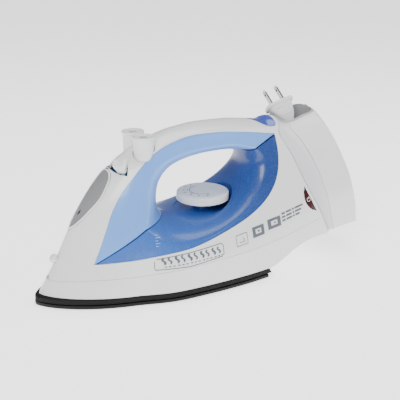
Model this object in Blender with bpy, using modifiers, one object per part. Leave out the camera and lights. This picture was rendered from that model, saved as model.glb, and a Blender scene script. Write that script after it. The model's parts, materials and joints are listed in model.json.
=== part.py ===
"""Steam iron with a retractable cord, modelled as an assembly of its real pieces.

Lengths are in millimetres until a mesh is made, where MM turns them into metres.
The side profile is drawn in (s, z): s runs back from the tip of the soleplate and
z runs up from the face that irons. World X is s less half the length, so the nose
points to -X, the cord reel is at +X, and Y is across the iron.
"""
import math

import bmesh
import bpy
import numpy as np
from mathutils import Matrix, Vector

# ---------------------------------------------------------------- driving dimensions
MM = 0.001
LENGTH = 330.3            # soleplate tip to the back of the reel cover
GAP = 0.3                 # clearance between pieces that touch
WALL = 2.4                # moulded wall thickness
SOLE_LENGTH = 209.0
SOLE_Z = 3.4              # thickness of the ironing plate's rim
BAND_Z = 9.3              # top of the black heat band
SKIRT_Z = 9.6             # lower edge of the white skirt

# ridge line of the body at mid-width, from the nose over the handle to the heel
RIDGE = [(4.5, 9), (12, 21.5), (21.5, 37.5), (33, 60), (41, 74.5), (56, 96.5), (75, 115), (90, 124.5),
         (117, 135.5), (139, 141.5), (165, 144), (190, 143.5), (217, 140.5), (229, 139), (238, 141),
         (247, 140.6), (259, 143.6), (270, 147), (280, 147.8), (291, 138.5), (303, 121), (314, 98),
         (322, 76), (328, 50), (331, 26)]
NOSE_END, HEEL_START = 90, 280            # where the ridge is also a function of z
SIDE_BY_HEIGHT = [(0, 64), (30, 63), (45, 57), (58, 49), (70, 42.5), (80, 37.5), (90, 33), (100, 29),
                  (112, 24.5), (125, 20.8), (135, 19.2), (150, 18.5)]
SIDE_BY_LENGTH = [(0, 64), (150, 64), (181, 61.5), (214, 55), (240, 50.5), (286, 44), (331, 40)]
SEAM = [(12.4, 21.6), (50, 25), (86, 26.6), (115, 28.6), (134, 30.2), (181, 32.5), (214, 35), (281, 46.5)]
UNDERSIDE = [(0, SKIRT_Z), (212, SKIRT_Z), (228, 15), (242, 21.5), (260, 26), (286, 28), (331, 30.5)]
COLLAR_FRONT = [(27, 285), (47, 275.5), (79, 260.3), (108, 249.2), (131, 238), (141, 243)]    # (z, s)
COLLAR_BACK = [(27, 292.5), (37, 289), (65, 283), (93, 275.4), (118, 262.8), (134, 250.8), (143, 250)]

# edge of the white shell round the blue parts, split at its two corners
WINDOW_TIP, WINDOW_CORNER = (46.5, 38.0), (233.0, 128.5)
WINDOW_UPPER = [WINDOW_TIP, (52.4, 50.4), (60, 67.8), (66.3, 81.6), (75, 95), (86.1, 106.8), (101, 120.2),
                (115.1, 128.6), (134.8, 134.9), (150, 137), (173, 136.8), (197, 134.2), WINDOW_CORNER]
WINDOW_LOWER = [WINDOW_TIP, (64.6, 39.8), (87.5, 41.6), (111.7, 44), (135.8, 47.6), (172.4, 56.4),
                (195.9, 64.4), (213.9, 74.4), (226.5, 87), (232.8, 101), (234.6, 115.6), WINDOW_CORNER]
# the hand hole at mid-width, and its flared rim on the side faces
HOLE_FRONT_CORNER, HOLE_REAR_CORNER = (122.5, 66.0), (206.0, 114.0)
HOLE_UPPER = [HOLE_FRONT_CORNER, (118.2, 71), (115.6, 77.5), (114.8, 84), (115.6, 90.5), (118, 97), (123.5, 104), (131, 109.3),
              (142, 113), (155, 115.4), (168, 116.4), (187, 116.2), HOLE_REAR_CORNER]
HOLE_LOWER = [HOLE_FRONT_CORNER, (129, 64), (141, 63), (155, 63.6), (170, 66.5), (183, 72), (194.5, 80),
              (203, 90), (207.5, 101), HOLE_REAR_CORNER]
RIM_UPPER = [(91, 66.5), (92, 76), (93, 87), (96, 97), (102, 107.5), (112.5, 116), (126, 121.3), (141, 123.8),
             (155, 124.8), (168, 125), (187, 124.6), (212, 118.5)]
RIM_LOWER = [(91, 66.5), (102, 55), (120, 49), (144, 51), (168, 57.5), (190, 66.5), (206, 77), (218, 91),
             (222.5, 105), (212, 118.5)]

DIAL_S, DIAL_R, DIAL_TOP, DIAL_BOTTOM = 167.6, 24.8, 77.9, 69.8
RECESS_R = 27.6           # the round recess in the tank that the dial sits in
BUTTON_S, BUTTON_Y, BUTTON_R, BUTTON_TOP, BUTTON_FOOT = 103.0, 11.0, 9.2, 140.6, 114.0
LEVER_PIVOT = (100.0, 0.0, 108.5)
LEVER_TURN, LEVER_REACH = 36.0, 20.0      # the steam lever's swing to the near side as drawn
LEVER_TILT = 17.0         # the valve rod leans forward from vertical, degrees
CORD_S, CORD_Y, CORD_R = 262.6, -11.0, 2.6            # the straight stretch of cord above the reel
REEL_Z, REEL_R, WOUND_R = 71.0, 26.5, 22.0
REEL_S = CORD_S + WOUND_R + CORD_R + 0.9
BRAKE_S, BRAKE_Z = 250.0, 112.0
PLUG_CENTRE = (256.6, 10.2, 148.9)
PLUG_LENGTH = 24.0
POCKET_FRONT, POCKET_BACK, POCKET_HALF, POCKET_FLOOR = 244.5, 282.0, 16.3, 119.0
PLUG_OUT = Vector((-0.165, 0.683, 0.712)).normalized()     # the way the blades point when it is docked

PARTS = "steam_iron"
CUTTERS = "cutters"

WHITE = (0.86, 0.87, 0.87)
BAND_GREY = (0.72, 0.73, 0.74)
LIGHT_BLUE = (0.30, 0.48, 0.74)
TANK_BLUE = (0.06, 0.17, 0.45)
BUTTON_BLUE = (0.05, 0.10, 0.42)
BLACK = (0.012, 0.012, 0.013)
RED = (0.16, 0.01, 0.02)
ALUMINIUM = (0.62, 0.62, 0.60)
STEEL = (0.55, 0.55, 0.56)
BRASS = (0.70, 0.52, 0.22)
NYLON = (0.75, 0.73, 0.66)
RUBBER = (0.30, 0.07, 0.05)
BOARD_GREEN = (0.03, 0.16, 0.07)


# ---------------------------------------------------------------- curves and the body's skin
def smooth(points):
    """Monotone cubic through points of rising first coordinate, as a function."""
    x, y = np.array(points, float).T
    step = np.diff(x)
    slope = np.diff(y) / step
    tangent = np.zeros(len(x))
    tangent[0], tangent[-1] = slope[0], slope[-1]
    for i in range(1, len(x) - 1):
        if slope[i - 1] * slope[i] > 0:
            a, b = 2 * step[i] + step[i - 1], step[i] + 2 * step[i - 1]
            tangent[i] = (a + b) / (a / slope[i - 1] + b / slope[i])

    def value(q):
        q = np.clip(np.asarray(q, float), x[0], x[-1])
        i = np.clip(np.searchsorted(x, q) - 1, 0, len(x) - 2)
        t = (q - x[i]) / step[i]
        return ((2 * t**3 - 3 * t**2 + 1) * y[i] + (t**3 - 2 * t**2 + t) * step[i] * tangent[i]
                + (3 * t**2 - 2 * t**3) * y[i + 1] + (t**3 - t**2) * step[i] * tangent[i + 1])
    return value


def along(points, count, trim=0.0):
    """Even points on a smooth line through the given ones, with a share of it trimmed off each end."""
    p = np.array(points, float)
    p = np.vstack([2 * p[0] - p[1], p, 2 * p[-1] - p[-2]])
    t = np.linspace(0, 1, 16, endpoint=False)[:, None]
    pieces = []
    for a, b, c, d in zip(p, p[1:], p[2:], p[3:]):
        pieces.append(0.5 * (2 * b + (c - a) * t + (2 * a - 5 * b + 4 * c - d) * t**2
                             + (3 * b - a - 3 * c + d) * t**3))
    line = np.vstack(pieces + [p[-2]])
    run = np.concatenate([[0], np.cumsum(np.linalg.norm(np.diff(line, axis=0), axis=1))])
    want = run[-1] * np.linspace(trim, 1 - trim, count)
    return np.array([[np.interp(w, run, line[:, k]) for k in (0, 1)] for w in want])


side_by_height = smooth(SIDE_BY_HEIGHT)
side_by_length = smooth(SIDE_BY_LENGTH)
seam_z = smooth(SEAM)
under_z = smooth(UNDERSIDE)
collar_front_s = smooth(COLLAR_FRONT)
collar_back_s = smooth(COLLAR_BACK)


class Skin:
    """The body's surface, or the same surface inset by a wall."""

    def __init__(self, inset=0.0):
        line = np.array(RIDGE, float)
        tangent = np.gradient(line, axis=0)
        tangent /= np.linalg.norm(tangent, axis=1)[:, None]
        self.inset = inset
        self.ridge = line + np.column_stack([tangent[:, 1], -tangent[:, 0]]) * inset
        self.top = smooth(self.ridge)
        self.nose = smooth([(z, s) for (s, z), (along_s, _) in zip(self.ridge, RIDGE) if along_s <= NOSE_END])
        self.heel = smooth(sorted((z, s) for (s, z), (at_s, _) in zip(self.ridge, RIDGE) if at_s >= HEEL_START))

    def ridge_at(self, s):
        """The point of this skin's ridge that lies under the outer ridge's point at s."""
        own = float(smooth([(point[0], inner) for point, inner in zip(RIDGE, self.ridge[:, 0])])(s))
        return (own, float(self.top(own)))

    def half(self, s, z):
        """Half the width at a point of the side profile: the softened least of five limits."""
        s, z = np.asarray(s, float), np.asarray(z, float)
        from_nose = np.clip(s - self.nose(z), 1e-3, None)
        bow = 60 * (1 - (1 - np.clip(from_nose, 0, 150) / 150)**2)**0.66
        bow = bow * (1 + 0.8 * np.clip((from_nose - 70) / 60, 0, None)**2)
        under_ridge = np.clip(self.top(s) - z, 1e-3, None)
        crown = 7.2 * np.sqrt(under_ridge) * (1 + (under_ridge / 12)**2)
        to_heel = np.clip(self.heel(z) - s, 1e-3, None)
        stern = np.where(s > 270, 13 * np.sqrt(to_heel) * (1 + (to_heel / 14)**2), 1e3)
        limits = (bow, side_by_height(z) - self.inset, side_by_length(s) - self.inset, crown, stern)
        return sum(limit**-7.0 for limit in limits)**(-1 / 7.0)


OUTER, INNER = Skin(), Skin(WALL)
half = OUTER.half


# ---------------------------------------------------------------- Blender helpers
def world(points):
    """Millimetres from the sole's tip to metres from the object's origin."""
    p = np.array(points, float).reshape(-1, 3)
    return (p - [LENGTH / 2, 0, 0]) * MM


def at(s, y, z):
    return Vector(world([(s, y, z)])[0])


def collection(name):
    found = bpy.data.collections.get(name)
    if not found:
        found = bpy.data.collections.new(name)
        bpy.context.scene.collection.children.link(found)
    return found


def material(name, colour, roughness=0.35, metallic=0.0):
    made = bpy.data.materials.new(name)
    made.use_nodes = True
    shader = made.node_tree.nodes["Principled BSDF"]
    shader.inputs["Base Color"].default_value = (*colour, 1)
    shader.inputs["Roughness"].default_value = roughness
    shader.inputs["Metallic"].default_value = metallic
    made.diffuse_color = (*colour, 1)
    return made


def add(name, mesh, colour=None, roughness=0.35, metallic=0.0):
    """Link a mesh as a part with its own material, or as a cutter when it has no colour."""
    obj = bpy.data.objects.new(name, mesh)
    if colour is None:
        collection(CUTTERS).objects.link(obj)
        obj.hide_render = True
        obj.display_type = "WIRE"
    else:
        collection(PARTS).objects.link(obj)
        mesh.materials.clear()
        mesh.materials.append(material(name, colour, roughness, metallic))
    return obj


def mesh_of(name, points, faces):
    mesh = bpy.data.meshes.new(name)
    mesh.from_pydata([tuple(v) for v in world(points)], [], faces)
    return tidy(mesh)


def tidy(mesh):
    """Weld coincident corners, drop what collapsed and turn every face outwards."""
    bm = bmesh.new()
    bm.from_mesh(mesh)
    bmesh.ops.remove_doubles(bm, verts=bm.verts, dist=1e-6)
    bmesh.ops.dissolve_degenerate(bm, edges=bm.edges, dist=1e-6)
    bmesh.ops.recalc_face_normals(bm, faces=bm.faces)
    bm.to_mesh(mesh)
    bm.free()
    mesh.shade_smooth()
    mesh.set_sharp_from_angle(angle=math.radians(35))
    return mesh


def grid_mesh(name, rows, closed=False):
    """Quads between neighbouring rows of points; closed joins each row's ends and caps the first and last."""
    rows = [np.asarray(row, float) for row in rows]
    width = len(rows[0])
    faces = []
    for i in range(len(rows) - 1):
        for j in range(width if closed else width - 1):
            k = (j + 1) % width
            faces.append((i * width + j, i * width + k, (i + 1) * width + k, (i + 1) * width + j))
    if closed:
        faces.append(tuple(range(width)))
        faces.append(tuple((len(rows) - 1) * width + j for j in range(width)))
    return mesh_of(name, np.vstack(rows), faces)


def shell(name, outer, inner, colour, roughness=0.3):
    """A wall between two open skins given as matching rows of points."""
    rings = [np.vstack([a, b[::-1]]) for a, b in zip(outer, inner)]
    return add(name, grid_mesh(name, rings, closed=True), colour, roughness)


def prism(name, outline, low, high, axis="Y", **look):
    """A flat outline drawn out along an axis: (s, z) along Y, or (s, y) along Z."""
    rings = []
    for level in (low, high):
        if axis == "Y":
            rings.append([(s, level, z) for s, z in outline])
        else:
            rings.append([(s, y, level) for s, y in outline])
    return add(name, grid_mesh(name, rings, closed=True), **look)


def bare(size, segments=24):
    """An empty BMesh holding a cylinder of radius and depth size, along Z."""
    bm = bmesh.new()
    bmesh.ops.create_cone(bm, cap_ends=True, segments=segments, radius1=size[0], radius2=size[1], depth=size[2])
    return bm


def aim(bm, centre, direction):
    turn = Vector((0, 0, 1)).rotation_difference(Vector(direction)).to_matrix().to_4x4()
    bmesh.ops.transform(bm, matrix=Matrix.Translation(at(*centre)) @ turn, verts=bm.verts)


def rod(name, start, end, radius, radius_end=None, segments=20, **look):
    """A cylinder or cone between two points."""
    a, b = at(*start), at(*end)
    bm = bare((radius * MM, (radius if radius_end is None else radius_end) * MM, (b - a).length), segments)
    middle = [(p + q) / 2 for p, q in zip(start, end)]
    aim(bm, middle, b - a)
    mesh = bpy.data.meshes.new(name)
    bm.to_mesh(mesh)
    bm.free()
    return add(name, tidy(mesh), **look)


def box(name, low, high, bevel=0.0, **look):
    bm = bmesh.new()
    bmesh.ops.create_cube(bm, size=1)
    size = [(h - l) * MM for l, h in zip(low, high)]
    middle = [(h + l) / 2 for l, h in zip(low, high)]
    bmesh.ops.transform(bm, matrix=Matrix.Translation(at(*middle)) @ Matrix.Diagonal((*size, 1)), verts=bm.verts)
    if bevel:
        bmesh.ops.bevel(bm, geom=bm.edges, offset=bevel * MM, segments=2, affect="EDGES", profile=0.5)
    mesh = bpy.data.meshes.new(name)
    bm.to_mesh(mesh)
    bm.free()
    return add(name, tidy(mesh), **look)


def turned(name, profile, centre, direction=(0, 0, 1), steps=32, **look):
    """A profile of (radius, height) points, from top to bottom on its outer side, spun round an axis."""
    mesh = bpy.data.meshes.new(name)
    points = [(r * MM, 0, h * MM) for r, h in profile]
    mesh.from_pydata(points, [(i, i + 1) for i in range(len(points) - 1)], [])
    obj = add(name + "_profile", mesh)
    spin = obj.modifiers.new("spin", "SCREW")
    spin.steps = spin.render_steps = steps
    spin.use_merge_vertices = True
    spin.merge_threshold = 1e-6
    baked = bpy.data.meshes.new_from_object(obj.evaluated_get(bpy.context.evaluated_depsgraph_get()))
    bpy.data.objects.remove(obj)
    bm = bmesh.new()
    bm.from_mesh(baked)
    aim(bm, centre, direction)
    bm.to_mesh(baked)
    bm.free()
    baked.name = name
    return add(name, tidy(baked), **look)


def tube(name, points, radius, **look):
    """A round wire through points, with filled ends, made a welded mesh."""
    curve = bpy.data.curves.new(name, "CURVE")
    curve.dimensions = "3D"
    curve.bevel_depth = radius * MM
    curve.bevel_resolution = 2
    curve.use_fill_caps = True
    line = curve.splines.new("POLY")
    line.points.add(len(points) - 1)
    for spot, point in zip(line.points, world(points)):
        spot.co = (*point, 1)
    holder = bpy.data.objects.new(name + "_curve", curve)
    collection(CUTTERS).objects.link(holder)
    mesh = bpy.data.meshes.new_from_object(holder.evaluated_get(bpy.context.evaluated_depsgraph_get()))
    bpy.data.objects.remove(holder)
    mesh.name = name
    return add(name, tidy(mesh), **look)


def triangulated(obj, merge=False):
    """Split an object's faces, many of them slightly bent, into flat triangles."""
    bm = bmesh.new()
    bm.from_mesh(obj.data)
    if merge:
        bmesh.ops.dissolve_limit(bm, angle_limit=math.radians(0.2), verts=bm.verts, edges=bm.edges)
    bmesh.ops.triangulate(bm, faces=bm.faces)
    bm.to_mesh(obj.data)
    bm.free()


def combine(obj, tools, operation="DIFFERENCE", solver="EXACT"):
    """Boolean each tool into an object, then remove the tool; MANIFOLD is for the thin moulded walls."""
    for tool in tools:
        triangulated(obj)
        triangulated(tool)
        step = obj.modifiers.new(tool.name, "BOOLEAN")
        step.operation = operation
        step.solver = solver
        step.object = tool
        mesh = bpy.data.meshes.new_from_object(obj.evaluated_get(bpy.context.evaluated_depsgraph_get()))
        looks = obj.data.materials[0] if obj.data.materials else None
        obj.modifiers.clear()
        obj.data = tidy(mesh)
        obj.data.materials.clear()
        if looks:
            obj.data.materials.append(looks)
        bpy.data.objects.remove(tool)
    triangulated(obj, merge=True)
    return obj


# ---------------------------------------------------------------- skins and outlines
def spread(count, crowd=2.0):
    """Fractions from 0 to 1, crowded towards 1."""
    return 1 - (1 - np.linspace(0, 1, count))**crowd


def over_ridge(edge, ridge_s, count, skin=OUTER):
    """A rib on a skin, from an edge point up to the ridge and down the far side."""
    t = spread(count)[:, None]
    side = np.array(edge) + (np.array(skin.ridge_at(ridge_s)) - np.array(edge)) * t
    y = np.maximum(skin.half(side[:, 0], side[:, 1]), 0.05)
    y[-1] = 0
    near = np.column_stack([side[:, 0], -y, side[:, 1]])
    far = near[-2::-1] * [1, -1, 1]
    return np.vstack([near, far])


def both_skins(edges, ridge, count):
    """Outer and inner ribs for the same edge points and places along the ridge."""
    return [[over_ridge(edge, s, count, skin) for edge, s in zip(edges, ridge)] for skin in (OUTER, INNER)]


def body_solid(name, skin=OUTER):
    """The whole body as one closed solid, to cut caps and inserts from."""
    rows = []
    for s in np.concatenate([np.linspace(16, 90, 16), np.linspace(96, 322, 30)]):
        rows.append(over_ridge((s, float(seam_z(s)) - 4), s, 12, skin))
    return add(name, grid_mesh(name, rows, closed=True))


def seam_to_collar(count, start):
    """Matching points along the upper shell's lower edge and places along the ridge."""
    low, ridge = [], []
    turn = int(count * 0.64)
    seam_end = float(collar_front_s(46))
    for f in np.linspace(0, 1, turn):
        s = start + (seam_end - start) * f**1.15
        low.append((s, float(seam_z(s)) + GAP))
        ridge.append(start + 0.5 + (225.5 - start) * f**1.05)
    for f in np.linspace(0, 1, count - turn + 1)[1:]:
        z = 46 + (139.5 - 46) * (1 - (1 - f)**1.6)
        low.append((float(collar_front_s(z)) - 1.5 * GAP, z))
        ridge.append(226 + (241.8 - 226) * f * f)
    return low, ridge


def plan_half(s):
    """Half the soleplate's width: the body's, stretched forward to the plate's tip."""
    forward = 4.5 * np.clip(1 - np.asarray(s, float) / 100, 0, 1)
    return half(s + forward, np.full(np.shape(s), 10.0))


def plan_outline(inset, rear, count=26):
    """The ironing plate's outline seen from above, as (s, y), inset from the skirt's line."""
    probe = np.linspace(0.02, 120, 2400)
    start = float(probe[np.argmax(plan_half(probe) > inset)]) + inset * 0.4
    s = start + (rear - start) * np.linspace(0, 1, count)**1.8
    near = [(a, -float(b)) for a, b in zip(s, plan_half(s) - inset)]
    near[0] = (start, 0.0)
    return near + [(a, -b) for a, b in near[:0:-1]]


def flare(u, fall):
    """The two exponents of the hand hole's rounding: blunt near the front corner, round elsewhere."""
    w = math.exp(-(u / fall)**2)
    return 2.0 - 0.4 * w, 2.0 - 0.85 * w


def hole_rib(outer, rim, inner, shape, inset=0.0, skin_count=4, round_count=6):
    """A rib from the window's edge, over the rim of the hand hole, to its far side."""
    outer, rim, inner = (np.array(p, float) for p in (outer, rim, inner))
    side = [outer + (rim - outer) * f for f in np.linspace(0, 1, skin_count)]
    rows = [(p[0], inset - float(half(*p)), p[1]) for p in side]
    width = float(half(*rim)) - inset
    for f in np.linspace(0, 1, round_count + 1)[1:]:
        c = math.cos(f * math.pi / 2)
        reach = (1 - c**shape[0])**(1 / shape[1])
        p = rim + (inner - rim) * reach
        rows.append((p[0], -width * c if f < 1 else 0.0, p[1]))
    near = np.array(rows)
    return np.vstack([near, near[-2::-1] * [1, -1, 1]])


def hole_ribs(window, rim, hole, count, fall, trim=0.0, skin_count=3, round_count=5):
    """Outer and inner ribs of a blue part; the inner ones lie a wall's thickness away from the hand."""
    outer, mid, inner = (along(curve, count, trim) for curve in (window, rim, hole))
    away = mid - inner
    away = inner + WALL * away / np.linalg.norm(away, axis=1)[:, None]
    skins = ([], [])
    for i in range(count):
        shape = flare(i / (count - 1), fall)
        skins[0].append(hole_rib(outer[i], mid[i], inner[i], shape, 0.0, skin_count, round_count))
        skins[1].append(hole_rib(outer[i], mid[i], away[i], shape, WALL, skin_count, round_count))
    return skins


def offset_outline(points, amount):
    """A closed (s, z) outline grown outwards by amount."""
    p = np.array(points, float)
    ahead, behind = np.roll(p, -1, axis=0), np.roll(p, 1, axis=0)
    tangent = ahead - behind
    tangent /= np.linalg.norm(tangent, axis=1)[:, None]
    normal = np.column_stack([tangent[:, 1], -tangent[:, 0]])
    area = np.sum(p[:, 0] * ahead[:, 1] - ahead[:, 0] * p[:, 1])
    return p + normal * amount * (1 if area > 0 else -1)


def window_outline(count):
    return np.vstack([along(WINDOW_UPPER, count), along(WINDOW_LOWER, count)[-2:0:-1]])


# ---------------------------------------------------------------- ironing base
def make_base():
    rear = SOLE_LENGTH
    plate = prism("soleplate", plan_outline(0.0, rear), 0, SOLE_Z, "Z", colour=BLACK, roughness=0.25)
    edge = plate.modifiers.new("edge", "BEVEL")
    edge.width, edge.segments, edge.limit_method, edge.angle_limit = 0.8 * MM, 1, "ANGLE", math.radians(60)
    casting = prism("casting", plan_outline(21, rear - 22, 16), SOLE_Z - 1, 15, "Z")
    combine(plate, [casting], "UNION")
    chamber = prism("chamber", plan_outline(28, rear - 30, 14), 8, 20, "Z")
    vents = []
    for row, (s, spread_y) in enumerate([(44, 0), (58, 9), (74, 17), (92, 22), (112, 25), (134, 27)]):
        for y in sorted({-spread_y, spread_y}):
            vents.append(rod(f"vent_{row}_{y}", (s, y, -2), (s, y, 10), 1.6, segments=8))
    combine(plate, [chamber] + vents)

    band = prism("heat_band", plan_outline(0.8, rear + 4.5), SOLE_Z + GAP, BAND_Z, "Z", colour=BLACK, roughness=0.5)
    combine(band, [prism("band_hole", plan_outline(8, rear - 6), 0, 20, "Z")])
    prism("chamber_cover", plan_outline(21.5, rear - 22.5, 16), 15 + GAP, 16.8, "Z", colour=ALUMINIUM,
          roughness=0.4, metallic=1.0)

    near = [(s, y, SOLE_Z + 3.4) for s, y in plan_outline(14.0, rear - 16, 18)[16:2:-1]]
    loop = near + [(s, -y, z) for s, y, z in near[::-1]]
    tube("heating_element", loop, 3.0, colour=STEEL, roughness=0.35, metallic=1.0)

    turned("thermostat", [(0, 27), (8.5, 27), (8.5, 17.1), (0, 17.1)], (DIAL_S, 0, 0), steps=16, colour=NYLON)
    rod("thermal_fuse", (140, 16, 20.4), (160, 16, 20.4), 3, segments=10, colour=STEEL, metallic=1.0)
    turned("valve_seat", [(2.6, 30.4), (6, 30.4), (6, 25), (4.5, 25), (4.5, 17.1), (2.6, 17.1), (2.6, 30.4)],
           (valve_at(31)[0], 0, 0), steps=16, colour=RUBBER, roughness=0.6)


def valve_at(z):
    """Where the leaning valve rod's axis crosses a height."""
    drop = (LEVER_PIVOT[2] - z) * math.tan(math.radians(LEVER_TILT))
    return (LEVER_PIVOT[0] + drop, 0.0, z)


# ---------------------------------------------------------------- skirt, shell and heel
def skirt_column(q, levels, skin):
    """Points up the skirt's wall; q runs from -1 at its near rear end to 1 at the far one."""
    column = []
    for f in np.linspace(0, 1, levels):
        z = float(under_z(280 * q * q))
        for _ in range(3):
            front = float(skin.nose(z))
            s = front + (float(collar_front_s(z)) - GAP - front) * q * q
            low = float(under_z(s))
            z = low + (float(seam_z(s)) - low) * f
        y = float(skin.half(s, z)) if q else 0.0
        column.append((s, math.copysign(y, q), z))
    return np.array(column)


def make_skirt():
    places = np.linspace(-1, 1, 45)
    outer, inner = ([skirt_column(q, 3, skin) for q in places] for skin in (OUTER, INNER))
    shell("skirt", outer, inner, WHITE)

    rows = []
    for s in np.linspace(214.5, 282.5, 12):
        z = float(under_z(s)) + 0.2
        reach = float(half(s, z)) - WALL - GAP
        across = np.linspace(-reach, reach, 3)
        rows.append([(s, y, z) for y in across] + [(s, y, z + WALL) for y in across[::-1]])
    floor = add("heel_floor", grid_mesh("heel_floor", rows, closed=True), WHITE)
    combine(floor, [rod(f"heel_screw_hole_{y}", (240, y, 0), (240, y, 60), 3.5, segments=12) for y in (-28, 28)])


def button_bores(play):
    """Cutters for the two push buttons' bores."""
    return [rod(f"button_bore_{side}", (BUTTON_S, side * BUTTON_Y, 100), (BUTTON_S, side * BUTTON_Y, 160),
                BUTTON_R + play, segments=24) for side in (-1, 1)]


def make_upper_shell():
    skins = [[over_ridge(edge, s, 8, skin) for edge, s in zip(*seam_to_collar(37, start))]
             for skin, start in ((OUTER, 13.4), (INNER, 17.0))]
    body = shell("upper_shell", *skins, WHITE)
    holes = [prism("window", offset_outline(window_outline(26), 1.5 * GAP), -90, 90)]
    holes += button_bores(0.5)
    holes.append(funnel_prism("funnel_hole", 0.0, 20, 14))
    holes.append(lever_slot("lever_slot"))
    holes.append(prism("rewind_hole", rewind_outline(GAP), 100, 160, "Z"))
    holes.append(rod("nozzle_hole", *nozzle_line(-6, 6), 3.4, segments=16))
    holes.append(prism("lens_hole", lens_outline(GAP), -60, -20))
    combine(body, holes, solver="MANIFOLD")


def collar_rows(skin, across, count):
    rows = []
    for v in np.linspace(0, 1, count):
        row = []
        for c in np.linspace(0, 1, across):
            z = 28.8 + (139.5 + 1.0 * c - 28.8) * (1 - (1 - v)**1.6)
            s = (float(collar_front_s(z)) + GAP) * (1 - c) + (float(collar_back_s(z)) - GAP) * c
            dip = 2.6 * 4 * c * (1 - c)
            row.append((s, -max(float(skin.half(s, z)) - dip, 1.5 - 0.3 * skin.inset), z - 0.4 * skin.inset * v))
        rows.append(row)
    return rows + [[(s, -y, z) for s, y, z in row] for row in rows[::-1]]


def make_collar():
    collar = shell("collar", collar_rows(OUTER, 4, 20), collar_rows(INNER, 4, 20), BAND_GREY)
    combine(collar, [prism("pocket_in_collar", pocket_outline(1.4 + GAP), 100, 200, "Z")], solver="MANIFOLD")


def make_reel_cover():
    edges, ridge = [], []
    back = smooth([(0, 330.2), (0.35, 322), (0.62, 303), (0.8, 289), (1, 262)])
    for v in np.linspace(0, 1, 17):
        z = 30.2 + (139.5 - 30.2) * v
        edges.append((float(collar_back_s(z)) + GAP, z))
        ridge.append(float(back(v)))
    cover = shell("reel_cover", *both_skins(edges, ridge, 8), WHITE)
    cuts = [prism("pocket_in_cover", pocket_outline(1.4 + GAP), 100, 200, "Z")]
    cuts += [rod(f"cover_screw_hole_{y}", (310, y, 45), (340, y, 45), 3.5, segments=12) for y in (-20, 20)]
    combine(cover, cuts, solver="MANIFOLD")


# ---------------------------------------------------------------- outlines shared by a piece and its opening
def funnel_prism(name, inset, depth, count):
    """A leaf-shaped prism square to the nose's upper face, cut by the filling funnel."""
    low, high = np.array([34.0, 62.0]), np.array([74.0, 113.5])
    run = high - low
    length = np.linalg.norm(run)
    run /= length
    out = np.array([-run[1], run[0]])
    widths = smooth([(0, 0.0), (0.12, 6.0), (0.35, 11.2), (0.62, 14.3), (0.85, 12.0), (0.95, 7.8), (1, 0.0)])
    f = np.linspace(0, 1, count)
    outline = [(t, -max(float(widths(t)) - inset, 0)) for t in f]
    outline += [(t, -w) for t, w in outline[-2:0:-1]]
    rings = []
    for level in (-depth, 16):
        ring = []
        for t, w in outline:
            floor = level + 12 * t if level < 0 else level
            t = (inset + (length - 2 * inset) * t)
            p = low + run * t + out * floor
            ring.append((p[0], w, p[1]))
        rings.append(ring)
    return add(name, grid_mesh(name, rings, closed=True))


def lever_slot(name):
    """The arc the steam lever's paddle swings through, cut straight down."""
    squeeze = math.cos(math.radians(LEVER_TILT))
    turns = np.radians(np.linspace(-55, 55, 13))
    ring = [(r, a) for r, sweep in ((LEVER_REACH + 3.6, turns), (LEVER_REACH - 3.6, turns[::-1])) for a in sweep]
    return prism(name, [(96.2 - r * squeeze * math.cos(a), r * math.sin(a)) for r, a in ring], 100, 130, "Z")


def rewind_outline(grow):
    """The rewind button seen from above: a point in front, widening to a round back."""
    t = np.linspace(0, 1, 14)
    front, back, widest = 214.0, 239.5, 17.4
    w = widest * np.sin(np.pi / 2 * np.clip(t / 0.82, 0, 1))**1.25 * np.sqrt(1 - np.clip((t - 0.82) / 0.18, 0, 1)**2)
    near = [(front + (back - front) * f, -float(b)) for f, b in zip(t, w)]
    near[0], near[-1] = (front, 0.0), (back, 0.0)
    ring = near + [(s, -y) for s, y in near[-2:0:-1]]
    return offset_outline(ring, grow) if grow else ring


def pocket_outline(grow):
    """The plug's pocket seen from above: round in front, nearly square behind."""
    ring = []
    middle, reach_front, reach_back = 262.0, 262.0 - POCKET_FRONT + grow, POCKET_BACK - 262.0 + grow
    for i in range(36):
        a = math.tau * (i + 0.5) / 36
        c, s = math.cos(a), math.sin(a)
        power = 0.42 if c > 0 else 0.6
        reach = reach_back if c > 0 else reach_front
        ring.append((middle + math.copysign(abs(c)**power, c) * reach,
                     math.copysign(abs(s)**0.6, s) * (POCKET_HALF + grow)))
    return ring


def nozzle_line(start, end):
    foot, out = np.array([21.2, 0, 38.5]), np.array([-0.86, 0, 0.51])
    return tuple(foot + out * start), tuple(foot + out * end)


def lens_outline(grow):
    top, bottom = np.array([257.5, 76.5]), np.array([267.6, 54.0])
    run = bottom - top
    across = np.array([-run[1], run[0]]) / np.linalg.norm(run)
    out = []
    for t in np.linspace(0, 1, 9):
        belly = 6.2 * math.sin(math.pi * t)**0.8
        p = top + run * t + across * -belly
        out.append(tuple(p))
    ring = np.array(out)
    middle = ring.mean(axis=0)
    return [tuple(p) for p in middle + (ring - middle) * (1 + grow / 3.2)]


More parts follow.
